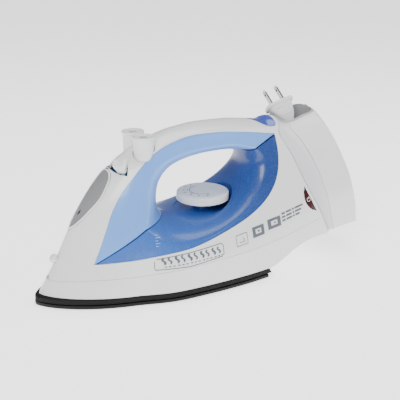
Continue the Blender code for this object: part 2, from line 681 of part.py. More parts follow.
def make_blue_parts():
    grip = shell("grip", *hole_ribs(WINDOW_UPPER, RIM_UPPER, HOLE_UPPER, 20, 0.12), LIGHT_BLUE)
    combine(grip, button_bores(GAP))
    outer, inner = hole_ribs(WINDOW_LOWER, RIM_LOWER, HOLE_LOWER, 20, 0.12, 0.008)
    tank = shell("tank", outer, inner, TANK_BLUE)

    hub_z, floor_z, lip = DIAL_BOTTOM - 1.2, 61.5, RECESS_R + 1.4
    seat = turned("dial_seat", [(4.2, hub_z), (10, hub_z), (11, floor_z), (RECESS_R + 0.6, floor_z),
                                (RECESS_R + 0.6, floor_z - 1.8), (6.2, floor_z - 1.8), (6.2, 34.2), (4.2, 34.2),
                                (4.2, hub_z)], (DIAL_S, 0, 0), steps=32, colour=TANK_BLUE)
    wall = turned("recess_wall", [(RECESS_R, 110), (lip, 110), (lip, floor_z - 1.2), (RECESS_R, floor_z - 1.2),
                                  (RECESS_R, 110)], (DIAL_S, 0, 0), steps=32)
    combine(wall, [add("tank_solid", grid_mesh("tank_solid", outer, closed=True))], "INTERSECT")
    combine(seat, [wall], "UNION")
    combine(tank, [turned("dial_well", [(0, 110), (lip + GAP, 110), (lip + GAP, 40), (0, 40)], (DIAL_S, 0, 0),
                          steps=32)])

    low, high = 30.8, 33.6
    near = [(s, -(float(INNER.half(s, high)) - 3 * GAP)) for s in np.linspace(60, 211, 14)]
    base = prism("tank_base", near + [(s, -y) for s, y in near[::-1]], low, high, "Z", colour=TANK_BLUE)
    combine(base, [rod("seat_bore", (DIAL_S, 0, 20), (DIAL_S, 0, 60), 4.2, segments=16),
                   rod("valve_bore", (valve_at(31)[0], 0, 20), (valve_at(31)[0], 0, 60), 6.3, segments=16)])


# ---------------------------------------------------------------- controls
def make_dial():
    turned("temperature_dial", [(0, DIAL_TOP), (DIAL_R - 1.6, DIAL_TOP), (DIAL_R, DIAL_TOP - 1.6),
                                (DIAL_R, DIAL_BOTTOM + 0.8), (DIAL_R - 0.8, DIAL_BOTTOM), (0, DIAL_BOTTOM)],
           (DIAL_S, 0, 0), steps=32, colour=WHITE)
    rod("dial_shaft", (DIAL_S, 0, 27.4), (DIAL_S, 0, DIAL_BOTTOM - GAP), 3.0, segments=14, colour=STEEL, metallic=1.0)


def make_pump(name, side):
    """A push button on its piston, the spring under it and the pump barrel."""
    y = side * BUTTON_Y
    r, top, foot = BUTTON_R, BUTTON_TOP, BUTTON_FOOT
    turned(f"{name}_button", [(0, top - 1.3), (6.5, top - 1.0), (r - 0.6, top), (r + 0.6, top), (r + 1, top - 0.5),
                              (r + 1, top - 1.7), (r + 0.1, top - 3.0), (r - 0.2, top - 12), (r, foot), (0, foot)],
           (BUTTON_S, y, 0), steps=20, colour=WHITE)
    rod(f"{name}_piston", (BUTTON_S, y, 90), (BUTTON_S, y, foot - GAP), 2.2, segments=10, colour=NYLON)
    barrel_top, wire, turns = 100.0, 0.6, 4
    turned(f"{name}_pump", [(0, 73), (2.6, 73), (2.6, barrel_top), (6, barrel_top), (6, 70), (0, 70)],
           (BUTTON_S, y, 0), steps=14, colour=NYLON)
    low, high = barrel_top + wire + GAP, foot - wire - GAP
    count = turns * 8
    coil = [(BUTTON_S + 4.4 * math.cos(math.tau * turns * i / count), y + 4.4 * math.sin(math.tau * turns * i / count),
             low + (high - low) * i / count) for i in range(count + 1)]
    tube(f"{name}_spring", coil, wire, colour=STEEL, roughness=0.3, metallic=1.0)


def make_spray_line():
    out = Vector((-0.86, 0, 0.51))
    foot = (21.2, 0, 38.5)
    turned("spray_nozzle", [(0, 4.6), (2.4, 4.6), (3.4, 3.8), (4.2, 1.4), (4.2, 0.7), (3.0, 0.7), (3.0, -5), (0, -5)],
           foot, out, steps=20, colour=WHITE)
    path = along_3d([(103, -11, 69), (101, -10.4, 62), (88, -8, 53.5), (66, -4, 47), (44, -1, 42.5), (28, 0, 35.6)], 16)
    tube("spray_tube", path, 1.6, colour=NYLON, roughness=0.4)


def along_3d(points, count):
    """Points of a smooth line through the given ones, in space."""
    p = np.array(points, float)
    f = np.linspace(0, len(p) - 1, count)
    return np.column_stack([smooth(list(enumerate(p[:, k])))(f) for k in range(3)])


def make_funnel():
    funnel = funnel_prism("fill_funnel", GAP, 15.5, 14)
    funnel = add("fill_funnel", funnel_mesh(funnel), WHITE)
    combine(funnel, [body_solid("body")], "INTERSECT")
    combine(funnel, [funnel_prism("funnel_hollow", 1.8, 13.5, 14), lever_slot("lever_room")])
    combine(funnel, [rod("fill_hole", (44.3, 0, 79), (57.3, 0, 69.8), 3.6, segments=12)])


def funnel_mesh(cutter):
    """Take a cutter's mesh for a part and drop the cutter."""
    mesh = cutter.data
    cutter.name = "funnel_blank"
    bpy.data.objects.remove(cutter)
    return mesh


def lever_point(forward, side, up, turn=LEVER_TURN):
    """A point in the steam lever's own frame: forward of its axis, to the far side and up along it."""
    a, b = math.radians(LEVER_TILT), math.radians(turn)
    forward, side = forward * math.cos(b) + side * math.sin(b), side * math.cos(b) - forward * math.sin(b)
    return (LEVER_PIVOT[0] - forward * math.cos(a) - up * math.sin(a), LEVER_PIVOT[1] + side,
            LEVER_PIVOT[2] - forward * math.sin(a) + up * math.cos(a))


def make_lever():
    paddle = [(-4.2, 8), (-4.3, 12), (-6, 15.2), (-6.8, 17.4), (-6.2, 19.3), (-4.4, 19.9), (-2.4, 18.8), (0, 17.8)]
    paddle += [(-y, u) for y, u in paddle[-2::-1]]
    rows = [[lever_point(LEVER_REACH + f, y * grow, u) for y, u in paddle]
            for f, grow in ((-2.6, 0.9), (-1.8, 1), (1.8, 1), (2.6, 0.9))]
    lever = add("steam_lever", grid_mesh("steam_lever", rows, closed=True), WHITE)
    rows = [[lever_point(f, y, u + rise) for f, y, rise in ((-3, -2.2, 0), (LEVER_REACH + 1.6, -2.2, 5.2),
                                                           (LEVER_REACH + 1.6, 2.2, 5.2), (-3, 2.2, 0))] for u in (-5.8, -3.8)]
    arm = add("arm", grid_mesh("arm", rows, closed=True))
    stem = rod("stem", lever_point(LEVER_REACH, 0, 0.2), lever_point(LEVER_REACH, 0, 9.5), 1.9, segments=10)
    hub = rod("hub", lever_point(0, 0, -7.5), lever_point(0, 0, -2.5), 4.2, segments=16)
    combine(lever, [stem, arm, hub], "UNION")
    rod("valve_rod", lever_point(0, 0, -7.8), valve_at(31.6), 1.6, segments=10, colour=BRASS, metallic=1.0)


def make_rewind():
    cap = prism("rewind_button", rewind_outline(0), 132.6, 160, "Z", colour=BUTTON_BLUE)
    combine(cap, [body_solid("body")], "INTERSECT")
    bar = [(227.6, 129), (231, 130), (246, 116.6), (253, 113.5), (271.9, 92.6), (268.9, 90.3), (249, 108.5), (244, 112)]
    lever = prism("brake_lever", bar, 12.8, 15.8, colour=STEEL, metallic=1.0)
    combine(lever, [rod("pin_hole", (BRAKE_S, 0, BRAKE_Z), (BRAKE_S, 30, BRAKE_Z), 2.1, segments=14)])
    rod("brake_pin", (BRAKE_S, 8, BRAKE_Z), (BRAKE_S, 18, BRAKE_Z), 1.8, segments=14, colour=STEEL, metallic=1.0)


def make_power_button():
    lens = prism("power_button", lens_outline(0), -60, -36, colour=RED, roughness=0.15)
    combine(lens, [body_solid("body")], "INTERSECT")
    rod("indicator_led", (261.0, -33.5, 66), (261.0, -29, 66), 2.4, segments=12, colour=RED, roughness=0.2)


# ---------------------------------------------------------------- plug, reel and wiring
def make_plug():
    out = PLUG_OUT
    wide = Vector((0.945, -0.05, 0.33))
    wide = (wide - out * wide.dot(out)).normalized()
    thin = out.cross(wide)
    centre = Vector(PLUG_CENTRE)

    def ring(level, half_wide, half_thin, grow=0.0, power=0.5):
        points = []
        half_wide, half_thin = half_wide + grow, half_thin + grow
        for i in range(20):
            a = math.tau * (i + 0.5) / 20
            c, s = math.cos(a), math.sin(a)
            p = centre + out * level + wide * (math.copysign(abs(c)**power, c) * half_wide)
            points.append(tuple(p + thin * (math.copysign(abs(s)**power, s) * half_thin)))
        return points
    sections = [(0, 13.6, 7.6), (-0.6, 14.6, 8.4), (-3.4, 14.6, 8.4), (-4.0, 12.0, 7.2), (-10, 10.6, 6.6),
                (-17, 8.0, 5.6), (-21, 5.6, 4.6), (-PLUG_LENGTH, 3.8, 3.6)]
    rings = [ring(*section) for section in sections]
    add("plug_body", grid_mesh("plug_body", rings, closed=True), WHITE, 0.35)
    for name, side in (("plug_blade_left", -1), ("plug_blade_right", 1)):
        rows = []
        for level, half_width in ((GAP, 3.2), (14.4, 3.2), (16.2, 2.2), (17.0, 1.0)):
            middle = centre + out * level + wide * (6.35 * side)
            rows.append([tuple(middle + wide * (a * 0.75) + thin * (b * half_width))
                         for a, b in ((-1, -1), (1, -1), (1, 1), (-1, 1))])
        blade = add(name, grid_mesh(name, rows, closed=True), STEEL, 0.25, 1.0)
        hole = centre + out * 12.2 + wide * (6.35 * side)
        combine(blade, [rod("blade_hole", tuple(hole - wide * 3), tuple(hole + wide * 3), 1.6, segments=12)])

    foot = centre - out * (PLUG_LENGTH + GAP)
    bend = [tuple(foot), tuple(foot - out * 3.0), (CORD_S - 0.2, CORD_Y + 0.6, 123.6), (CORD_S, CORD_Y, 119),
            (CORD_S, CORD_Y, 112), (CORD_S, CORD_Y, 92), (CORD_S, CORD_Y, 72)]
    tube("cord", along_3d(bend, 22), CORD_R, colour=WHITE, roughness=0.5)

    room = [ring(*section, grow=0.7) for section in [(3, 14.6, 8.4)] + sections[:4]]
    room_mesh = grid_mesh("plug_room", room, closed=True)
    combine(bpy.data.objects["collar"], [add("plug_room", room_mesh.copy())], solver="MANIFOLD")
    cradle = prism("plug_cradle", pocket_outline(1.4), POCKET_FLOOR - 1.6, 160, "Z", colour=BAND_GREY)
    combine(cradle, [body_solid("body")], "INTERSECT")
    combine(cradle, [prism("pocket", pocket_outline(0), POCKET_FLOOR, 200, "Z"),
                     add("plug_room", room_mesh),
                     rod("cord_hole", (CORD_S, CORD_Y, 100), (CORD_S, CORD_Y, 130), CORD_R + 0.8, segments=14)])


def make_reel():
    axis, centre = (0, 1, 0), (REEL_S, 0, REEL_Z)
    bore, hub, inner_y, outer_y = 3.1, 8.0, 14.5, 16.0
    turned("cord_reel", [(bore, outer_y), (REEL_R, outer_y), (REEL_R, inner_y), (hub, inner_y), (hub, -inner_y),
                         (REEL_R, -inner_y), (REEL_R, -outer_y), (bore, -outer_y), (bore, outer_y)],
           centre, axis, steps=24, colour=NYLON)
    turned("cord_winding", [(hub + GAP, inner_y - GAP), (WOUND_R, inner_y - GAP), (WOUND_R, GAP - inner_y),
                            (hub + GAP, GAP - inner_y), (hub + GAP, inner_y - GAP)], centre, axis, steps=24,
           colour=WHITE, roughness=0.5)
    turned("power_spring", [(bore, 22.5), (20, 22.5), (20, 16.5), (bore, 16.5), (bore, 22.5)], centre, axis, steps=24,
           colour=STEEL, metallic=1.0)
    turned("slip_ring", [(bore, -16.5), (13, -16.5), (13, -19), (bore, -19), (bore, -16.5)], centre, axis, steps=24,
           colour=BRASS, metallic=1.0)
    rod("reel_axle", (REEL_S, -29, REEL_Z), (REEL_S, 29, REEL_Z), 3.0, segments=20, colour=STEEL, metallic=1.0)
    low, high = 33.2, 90.0
    frame = box("reel_frame", (268, -26, low), (306, 26, high), colour=STEEL, metallic=1.0)
    combine(frame, [box("frame_inside", (200, -24.2, low + 1.8), (400, 24.2, 200)),
                    rod("axle_hole", (REEL_S, -40, REEL_Z), (REEL_S, 40, REEL_Z), 3.3, segments=20)])


def make_electrics():
    box("control_board", (218, -24, 40), (250, 24, 41.6), colour=BOARD_GREEN)
    box("tilt_switch", (226, -9, 41.9), (240, 9, 50), 0.8, colour=BLACK)
    box("terminal_block", (192, -14, 18), (212, 14, 27), 0.8, colour=NYLON)
    for name, y in (("wire_live", -8), ("wire_neutral", 8)):
        route = along_3d([(230, y, 38.2), (224, y, 36.5), (219, y, 31), (213.6, y, 23)], 8)
        tube(name, route, 1.2, colour=BLACK)


def screw(name, start, end):
    """A countersunk screw: its head at the start, its shank towards the end."""
    direction = (Vector(end) - Vector(start)).normalized()
    length = (Vector(end) - Vector(start)).length
    profile = [(0, 0), (3.1, 0), (3.1, -0.8), (1.6, -2.6), (1.6, -length), (0, -length)]
    turned(name, profile, start, -direction, steps=12, colour=STEEL, roughness=0.3, metallic=1.0)


def make_screws():
    for side, y in (("left", -1), ("right", 1)):
        screw(f"heel_screw_{side}", (240, y * 28, 21.2), (240, y * 28, 33))
        screw(f"cover_screw_{side}", (326.5, y * 20, 45), (313, y * 20, 45))


# ---------------------------------------------------------------- build
def on_axis(point, *names):
    """Give moving pieces their origin on the line they turn about or slide along."""
    for name in names:
        obj = bpy.data.objects[name]
        placed = Matrix.Translation(Vector(world(point)[0]))
        obj.data.transform(placed.inverted() @ obj.matrix_basis)
        obj.matrix_basis = placed


def set_axes():
    on_axis((DIAL_S, 0, DIAL_BOTTOM), "temperature_dial", "dial_shaft")
    for side, name in ((-1, "spray"), (1, "steam")):
        on_axis((BUTTON_S, side * BUTTON_Y, BUTTON_FOOT), name + "_button", name + "_piston")
    on_axis(LEVER_PIVOT, "steam_lever", "valve_rod")
    on_axis((238.0, 0, 133.0), "rewind_button")
    on_axis((BRAKE_S, 14.3, BRAKE_Z), "brake_lever")
    on_axis((261.0, -40.0, 66.0), "power_button")
    on_axis(PLUG_CENTRE, "plug_body", "plug_blade_left", "plug_blade_right", "cord")
    on_axis((REEL_S, 0, REEL_Z), "cord_reel", "cord_winding")


def build():
    for obj in list(bpy.data.objects):
        bpy.data.objects.remove(obj)
    make_base()
    make_skirt()
    make_upper_shell()
    make_collar()
    make_reel_cover()
    make_blue_parts()
    make_dial()
    make_pump("spray", -1)
    make_pump("steam", 1)
    make_spray_line()
    make_funnel()
    make_lever()
    make_rewind()
    make_power_button()
    make_plug()
    make_reel()
    make_electrics()
    make_screws()
    set_axes()


build()
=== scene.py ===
"""Looks for the steam iron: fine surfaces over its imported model, materials, marks, light and camera."""
import json
import math

import bmesh
import bpy
import numpy as np
from mathutils import Matrix, Vector

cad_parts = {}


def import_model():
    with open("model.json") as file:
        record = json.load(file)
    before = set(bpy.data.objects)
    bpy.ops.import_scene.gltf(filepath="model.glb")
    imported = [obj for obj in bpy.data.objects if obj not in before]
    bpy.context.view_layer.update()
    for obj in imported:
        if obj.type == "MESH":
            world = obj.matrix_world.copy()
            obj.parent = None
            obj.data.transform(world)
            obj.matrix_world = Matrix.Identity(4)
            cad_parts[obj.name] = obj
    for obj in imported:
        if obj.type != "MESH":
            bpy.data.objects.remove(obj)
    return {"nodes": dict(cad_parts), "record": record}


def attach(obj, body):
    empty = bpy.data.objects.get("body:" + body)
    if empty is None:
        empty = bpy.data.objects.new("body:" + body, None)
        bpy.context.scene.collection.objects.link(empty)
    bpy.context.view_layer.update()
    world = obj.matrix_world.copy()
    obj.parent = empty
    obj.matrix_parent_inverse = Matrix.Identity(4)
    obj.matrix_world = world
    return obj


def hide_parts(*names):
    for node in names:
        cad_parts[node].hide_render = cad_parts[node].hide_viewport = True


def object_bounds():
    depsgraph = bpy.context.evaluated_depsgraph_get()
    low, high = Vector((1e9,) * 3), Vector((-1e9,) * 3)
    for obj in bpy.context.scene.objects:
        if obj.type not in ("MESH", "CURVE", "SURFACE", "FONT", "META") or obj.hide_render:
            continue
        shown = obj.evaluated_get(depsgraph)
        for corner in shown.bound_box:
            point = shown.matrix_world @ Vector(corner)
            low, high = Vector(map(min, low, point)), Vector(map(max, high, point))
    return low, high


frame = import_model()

CAD_LOW, CAD_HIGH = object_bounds()

# ---------------------------------------------------------------- driving dimensions
MM = 0.001
LENGTH = 330.3            # soleplate tip to the back of the reel cover
GAP = 0.3                 # clearance between pieces that touch
WALL = 2.4                # moulded wall thickness
SOLE_LENGTH = 209.0
SOLE_Z = 3.4              # thickness of the ironing plate's rim
BAND_Z = 9.3              # top of the black heat band
SKIRT_Z = 9.6             # lower edge of the white skirt

# ridge line of the body at mid-width, from the nose over the handle to the heel
RIDGE = [(4.5, 9), (12, 21.5), (21.5, 37.5), (33, 60), (41, 74.5), (56, 96.5), (75, 115), (90, 124.5),
         (117, 135.5), (139, 141.5), (165, 144), (190, 143.5), (217, 140.5), (229, 139), (238, 141),
         (247, 140.6), (259, 143.6), (270, 147), (280, 147.8), (291, 138.5), (303, 121), (314, 98),
         (322, 76), (328, 50), (331, 26)]
NOSE_END, HEEL_START = 90, 280            # where the ridge is also a function of z
SIDE_BY_HEIGHT = [(0, 64), (30, 63), (45, 57), (58, 49), (70, 42.5), (80, 37.5), (90, 33), (100, 29),
                  (112, 24.5), (125, 20.8), (135, 19.2), (150, 18.5)]
SIDE_BY_LENGTH = [(0, 64), (150, 64), (181, 61.5), (214, 55), (240, 50.5), (286, 44), (331, 40)]
SEAM = [(12.4, 21.6), (50, 25), (86, 26.6), (115, 28.6), (134, 30.2), (181, 32.5), (214, 35), (281, 46.5)]
UNDERSIDE = [(0, SKIRT_Z), (212, SKIRT_Z), (228, 15), (242, 21.5), (260, 26), (286, 28), (331, 30.5)]
COLLAR_FRONT = [(27, 285), (47, 275.5), (79, 260.3), (108, 249.2), (131, 238), (141, 243)]    # (z, s)
COLLAR_BACK = [(27, 292.5), (37, 289), (65, 283), (93, 275.4), (118, 262.8), (134, 250.8), (143, 250)]

# edge of the white shell round the blue parts, split at its two corners
WINDOW_TIP, WINDOW_CORNER = (46.5, 38.0), (233.0, 128.5)
WINDOW_UPPER = [WINDOW_TIP, (52.4, 50.4), (60, 67.8), (66.3, 81.6), (75, 95), (86.1, 106.8), (101, 120.2),
                (115.1, 128.6), (134.8, 134.9), (150, 137), (173, 136.8), (197, 134.2), WINDOW_CORNER]
WINDOW_LOWER = [WINDOW_TIP, (64.6, 39.8), (87.5, 41.6), (111.7, 44), (135.8, 47.6), (172.4, 56.4),
                (195.9, 64.4), (213.9, 74.4), (226.5, 87), (232.8, 101), (234.6, 115.6), WINDOW_CORNER]
# the hand hole at mid-width, and its flared rim on the side faces
HOLE_FRONT_CORNER, HOLE_REAR_CORNER = (122.5, 66.0), (206.0, 114.0)
HOLE_UPPER = [HOLE_FRONT_CORNER, (118.2, 71), (115.6, 77.5), (114.8, 84), (115.6, 90.5), (118, 97), (123.5, 104), (131, 109.3),
              (142, 113), (155, 115.4), (168, 116.4), (187, 116.2), HOLE_REAR_CORNER]
HOLE_LOWER = [HOLE_FRONT_CORNER, (129, 64), (141, 63), (155, 63.6), (170, 66.5), (183, 72), (194.5, 80),
              (203, 90), (207.5, 101), HOLE_REAR_CORNER]
RIM_UPPER = [(91, 66.5), (92, 76), (93, 87), (96, 97), (102, 107.5), (112.5, 116), (126, 121.3), (141, 123.8),
             (155, 124.8), (168, 125), (187, 124.6), (212, 118.5)]
RIM_LOWER = [(91, 66.5), (102, 55), (120, 49), (144, 51), (168, 57.5), (190, 66.5), (206, 77), (218, 91),
             (222.5, 105), (212, 118.5)]

DIAL_S, DIAL_R, DIAL_TOP, DIAL_BOTTOM = 167.6, 24.8, 77.9, 69.8
RECESS_R = 27.6           # the round recess in the tank that the dial sits in
BUTTON_S, BUTTON_Y, BUTTON_R, BUTTON_TOP, BUTTON_FOOT = 103.0, 11.0, 9.2, 140.6, 114.0
LEVER_PIVOT = (100.0, 0.0, 108.5)
LEVER_TURN, LEVER_REACH = 36.0, 20.0      # the steam lever's swing to the near side as drawn
LEVER_TILT = 17.0         # the valve rod leans forward from vertical, degrees
CORD_S, CORD_Y, CORD_R = 262.6, -11.0, 2.6            # the straight stretch of cord above the reel
PLUG_CENTRE = (256.6, 10.2, 148.9)
PLUG_LENGTH = 24.0
POCKET_FRONT, POCKET_BACK, POCKET_HALF, POCKET_FLOOR = 244.5, 282.0, 16.3, 119.0
PLUG_OUT = Vector((-0.165, 0.683, 0.712)).normalized()     # the way the blades point when it is docked

# ---------------------------------------------------------------- curves and the body's skin
def smooth(points):
    """Monotone cubic through points of rising first coordinate, as a function."""
    x, y = np.array(points, float).T
    step = np.diff(x)
    slope = np.diff(y) / step
    tangent = np.zeros(len(x))
    tangent[0], tangent[-1] = slope[0], slope[-1]
    for i in range(1, len(x) - 1):
        if slope[i - 1] * slope[i] > 0:
            a, b = 2 * step[i] + step[i - 1], step[i] + 2 * step[i - 1]
            tangent[i] = (a + b) / (a / slope[i - 1] + b / slope[i])

    def value(q):
        q = np.clip(np.asarray(q, float), x[0], x[-1])
        i = np.clip(np.searchsorted(x, q) - 1, 0, len(x) - 2)
        t = (q - x[i]) / step[i]
        return ((2 * t**3 - 3 * t**2 + 1) * y[i] + (t**3 - 2 * t**2 + t) * step[i] * tangent[i]
                + (3 * t**2 - 2 * t**3) * y[i + 1] + (t**3 - t**2) * step[i] * tangent[i + 1])
    return value


def along(points, count, trim=0.0):
    """Even points on a smooth line through the given ones, with a share of it trimmed off each end."""
    p = np.array(points, float)
    p = np.vstack([2 * p[0] - p[1], p, 2 * p[-1] - p[-2]])
    t = np.linspace(0, 1, 16, endpoint=False)[:, None]
    pieces = []
    for a, b, c, d in zip(p, p[1:], p[2:], p[3:]):
        pieces.append(0.5 * (2 * b + (c - a) * t + (2 * a - 5 * b + 4 * c - d) * t**2
                             + (3 * b - a - 3 * c + d) * t**3))
    line = np.vstack(pieces + [p[-2]])
    run = np.concatenate([[0], np.cumsum(np.linalg.norm(np.diff(line, axis=0), axis=1))])
    want = run[-1] * np.linspace(trim, 1 - trim, count)
    return np.array([[np.interp(w, run, line[:, k]) for k in (0, 1)] for w in want])


side_by_height = smooth(SIDE_BY_HEIGHT)
side_by_length = smooth(SIDE_BY_LENGTH)
seam_z = smooth(SEAM)
under_z = smooth(UNDERSIDE)
collar_front_s = smooth(COLLAR_FRONT)
collar_back_s = smooth(COLLAR_BACK)


class Skin:
    """The body's surface, or the same surface inset by a wall."""

    def __init__(self, inset=0.0):
        line = np.array(RIDGE, float)
        tangent = np.gradient(line, axis=0)
        tangent /= np.linalg.norm(tangent, axis=1)[:, None]
        self.inset = inset
        self.ridge = line + np.column_stack([tangent[:, 1], -tangent[:, 0]]) * inset
        self.top = smooth(self.ridge)
        self.nose = smooth([(z, s) for (s, z), (along_s, _) in zip(self.ridge, RIDGE) if along_s <= NOSE_END])
        self.heel = smooth(sorted((z, s) for (s, z), (at_s, _) in zip(self.ridge, RIDGE) if at_s >= HEEL_START))

    def ridge_at(self, s):
        """The point of this skin's ridge that lies under the outer ridge's point at s."""
        own = float(smooth([(point[0], inner) for point, inner in zip(RIDGE, self.ridge[:, 0])])(s))
        return (own, float(self.top(own)))

    def half(self, s, z):
        """Half the width at a point of the side profile: the softened least of five limits."""
        s, z = np.asarray(s, float), np.asarray(z, float)
        from_nose = np.clip(s - self.nose(z), 1e-3, None)
        bow = 60 * (1 - (1 - np.clip(from_nose, 0, 150) / 150)**2)**0.66
        bow = bow * (1 + 0.8 * np.clip((from_nose - 70) / 60, 0, None)**2)
        under_ridge = np.clip(self.top(s) - z, 1e-3, None)
        crown = 7.2 * np.sqrt(under_ridge) * (1 + (under_ridge / 12)**2)
        to_heel = np.clip(self.heel(z) - s, 1e-3, None)
        stern = np.where(s > 270, 13 * np.sqrt(to_heel) * (1 + (to_heel / 14)**2), 1e3)
        limits = (bow, side_by_height(z) - self.inset, side_by_length(s) - self.inset, crown, stern)
        return sum(limit**-7.0 for limit in limits)**(-1 / 7.0)


OUTER, INNER = Skin(), Skin(WALL)
half = OUTER.half


# ---------------------------------------------------------------- Blender helpers
def world(points):
    """Millimetres from the sole's tip to metres from the object's origin."""
    p = np.array(points, float).reshape(-1, 3)
    return (p - [LENGTH / 2, 0, 0]) * MM


def at(s, y, z):
    return Vector(world([(s, y, z)])[0])


def link(name, mesh):
    obj = bpy.data.objects.new(name, mesh)
    bpy.context.scene.collection.objects.link(obj)
    return obj


def tidy(mesh, angle=35):
    bm = bmesh.new()
    bm.from_mesh(mesh)
    bmesh.ops.remove_doubles(bm, verts=bm.verts, dist=1e-6)
    bmesh.ops.dissolve_degenerate(bm, edges=bm.edges, dist=1e-6)
    bmesh.ops.recalc_face_normals(bm, faces=bm.faces)
    bm.to_mesh(mesh)
    bm.free()
    mesh.shade_smooth()
    mesh.set_sharp_from_angle(angle=math.radians(angle))
    return mesh


def grid(name, rows, closed=False):
    """An object of quads between neighbouring rows of points; closed also joins each row's ends and caps."""
    rows = [np.asarray(row, float) for row in rows]
    width = len(rows[0])
    faces = []
    for i in range(len(rows) - 1):
        for j in range(width if closed else width - 1):
            k = (j + 1) % width
            faces.append((i * width + j, i * width + k, (i + 1) * width + k, (i + 1) * width + j))
    if closed:
        faces.append(tuple(range(width)))
        faces.append(tuple((len(rows) - 1) * width + j for j in range(width)))
    mesh = bpy.data.meshes.new(name)
    mesh.from_pydata([tuple(v) for v in world(np.vstack(rows))], [], faces)
    return link(name, tidy(mesh))




def wall(name, outer, inner):
    return grid(name, [np.vstack([a, b[::-1]]) for a, b in zip(outer, inner)], closed=True)


def prism(name, outline, low, high, axis="Y"):
    rings = []
    for level in (low, high):
        rings.append([(p, level, q) if axis == "Y" else (p, q, level) for p, q in outline])
    return grid(name, rings, closed=True)


def turned(name, profile, centre, direction=(0, 0, 1), steps=96):
    """A profile of (radius, height) points spun round an axis; radius 0 closes it."""
    turn = Vector((0, 0, 1)).rotation_difference(Vector(direction)).to_matrix()
    rows = []
    for r, h in profile:
        rows.append([turn @ Vector((r * math.cos(math.tau * i / steps), r * math.sin(math.tau * i / steps), h))
                     + Vector(centre) for i in range(steps)])
    return grid(name, [[tuple(p) for p in row] for row in rows], closed=True)


def rod(name, start, end, radius, steps=40):
    out = Vector(end) - Vector(start)
    return turned(name, [(radius, 0), (radius, out.length)], start, out, steps)


def rounded(points, radius, steps=5):
    """A profile with its inner corners rounded by a radius."""
    p = [np.array(q, float) for q in points]
    out = [p[0]]
    for a, b, c in zip(p, p[1:], p[2:]):
        u, v = (a - b), (c - b)
        lu, lv = np.linalg.norm(u), np.linalg.norm(v)
        r = min(radius, lu * 0.45, lv * 0.45)
        u, v = b + u / lu * r, b + v / lv * r
        for t in np.linspace(0, 1, steps):
            out.append((1 - t)**2 * u + 2 * t * (1 - t) * b + t**2 * v)
    out.append(p[-1])
    return [tuple(q) for q in out]


def tube(name, points, radius, sides=10, closed=False):
    """A round tube through points, with the frame carried along it."""
    p = np.array(points, float)
    n = len(p)
    rows, normal = [], None
    for i in range(n):
        ahead = p[(i + 1) % n if closed else min(i + 1, n - 1)]
        behind = p[(i - 1) % n if closed else max(i - 1, 0)]
        t = (ahead - behind) / max(np.linalg.norm(ahead - behind), 1e-9)
        if normal is None:
            normal = np.cross(t, [0.3, 0.9, 0.31])
        normal = normal - t * normal.dot(t)
        normal /= np.linalg.norm(normal)
        other = np.cross(t, normal)
        rows.append([p[i] + radius * (normal * math.cos(math.tau * k / sides) + other * math.sin(math.tau * k / sides))
                     for k in range(sides)])
    if closed:
        rows.append(rows[0])
    return grid(name, rows, closed=True)


def triangulated(obj):
    bm = bmesh.new()
    bm.from_mesh(obj.data)
    bmesh.ops.triangulate(bm, faces=bm.faces)
    bm.to_mesh(obj.data)
    bm.free()


def combine(obj, tools, operation="DIFFERENCE", solver="MANIFOLD"):
    for tool in tools:
        triangulated(obj)
        triangulated(tool)
        step = obj.modifiers.new(tool.name, "BOOLEAN")
        step.operation, step.solver, step.object = operation, solver, tool
        mesh = bpy.data.meshes.new_from_object(obj.evaluated_get(bpy.context.evaluated_depsgraph_get()))
        obj.modifiers.clear()
        obj.data = mesh
        bpy.data.objects.remove(tool)
    tidy(obj.data, 30)
    return obj


def stand_for(obj, body, slot, look, *nodes):
    """Give a piece its material, its body and the CAD nodes it stands for, kept within the model's width."""
    for vertex in obj.data.vertices:
        vertex.co.y = min(max(vertex.co.y, CAD_LOW[1]), CAD_HIGH[1])
    obj.data.materials.clear()
    obj.data.materials.append(look)
    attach(obj, body)
    if nodes:
        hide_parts(*nodes)
    return obj


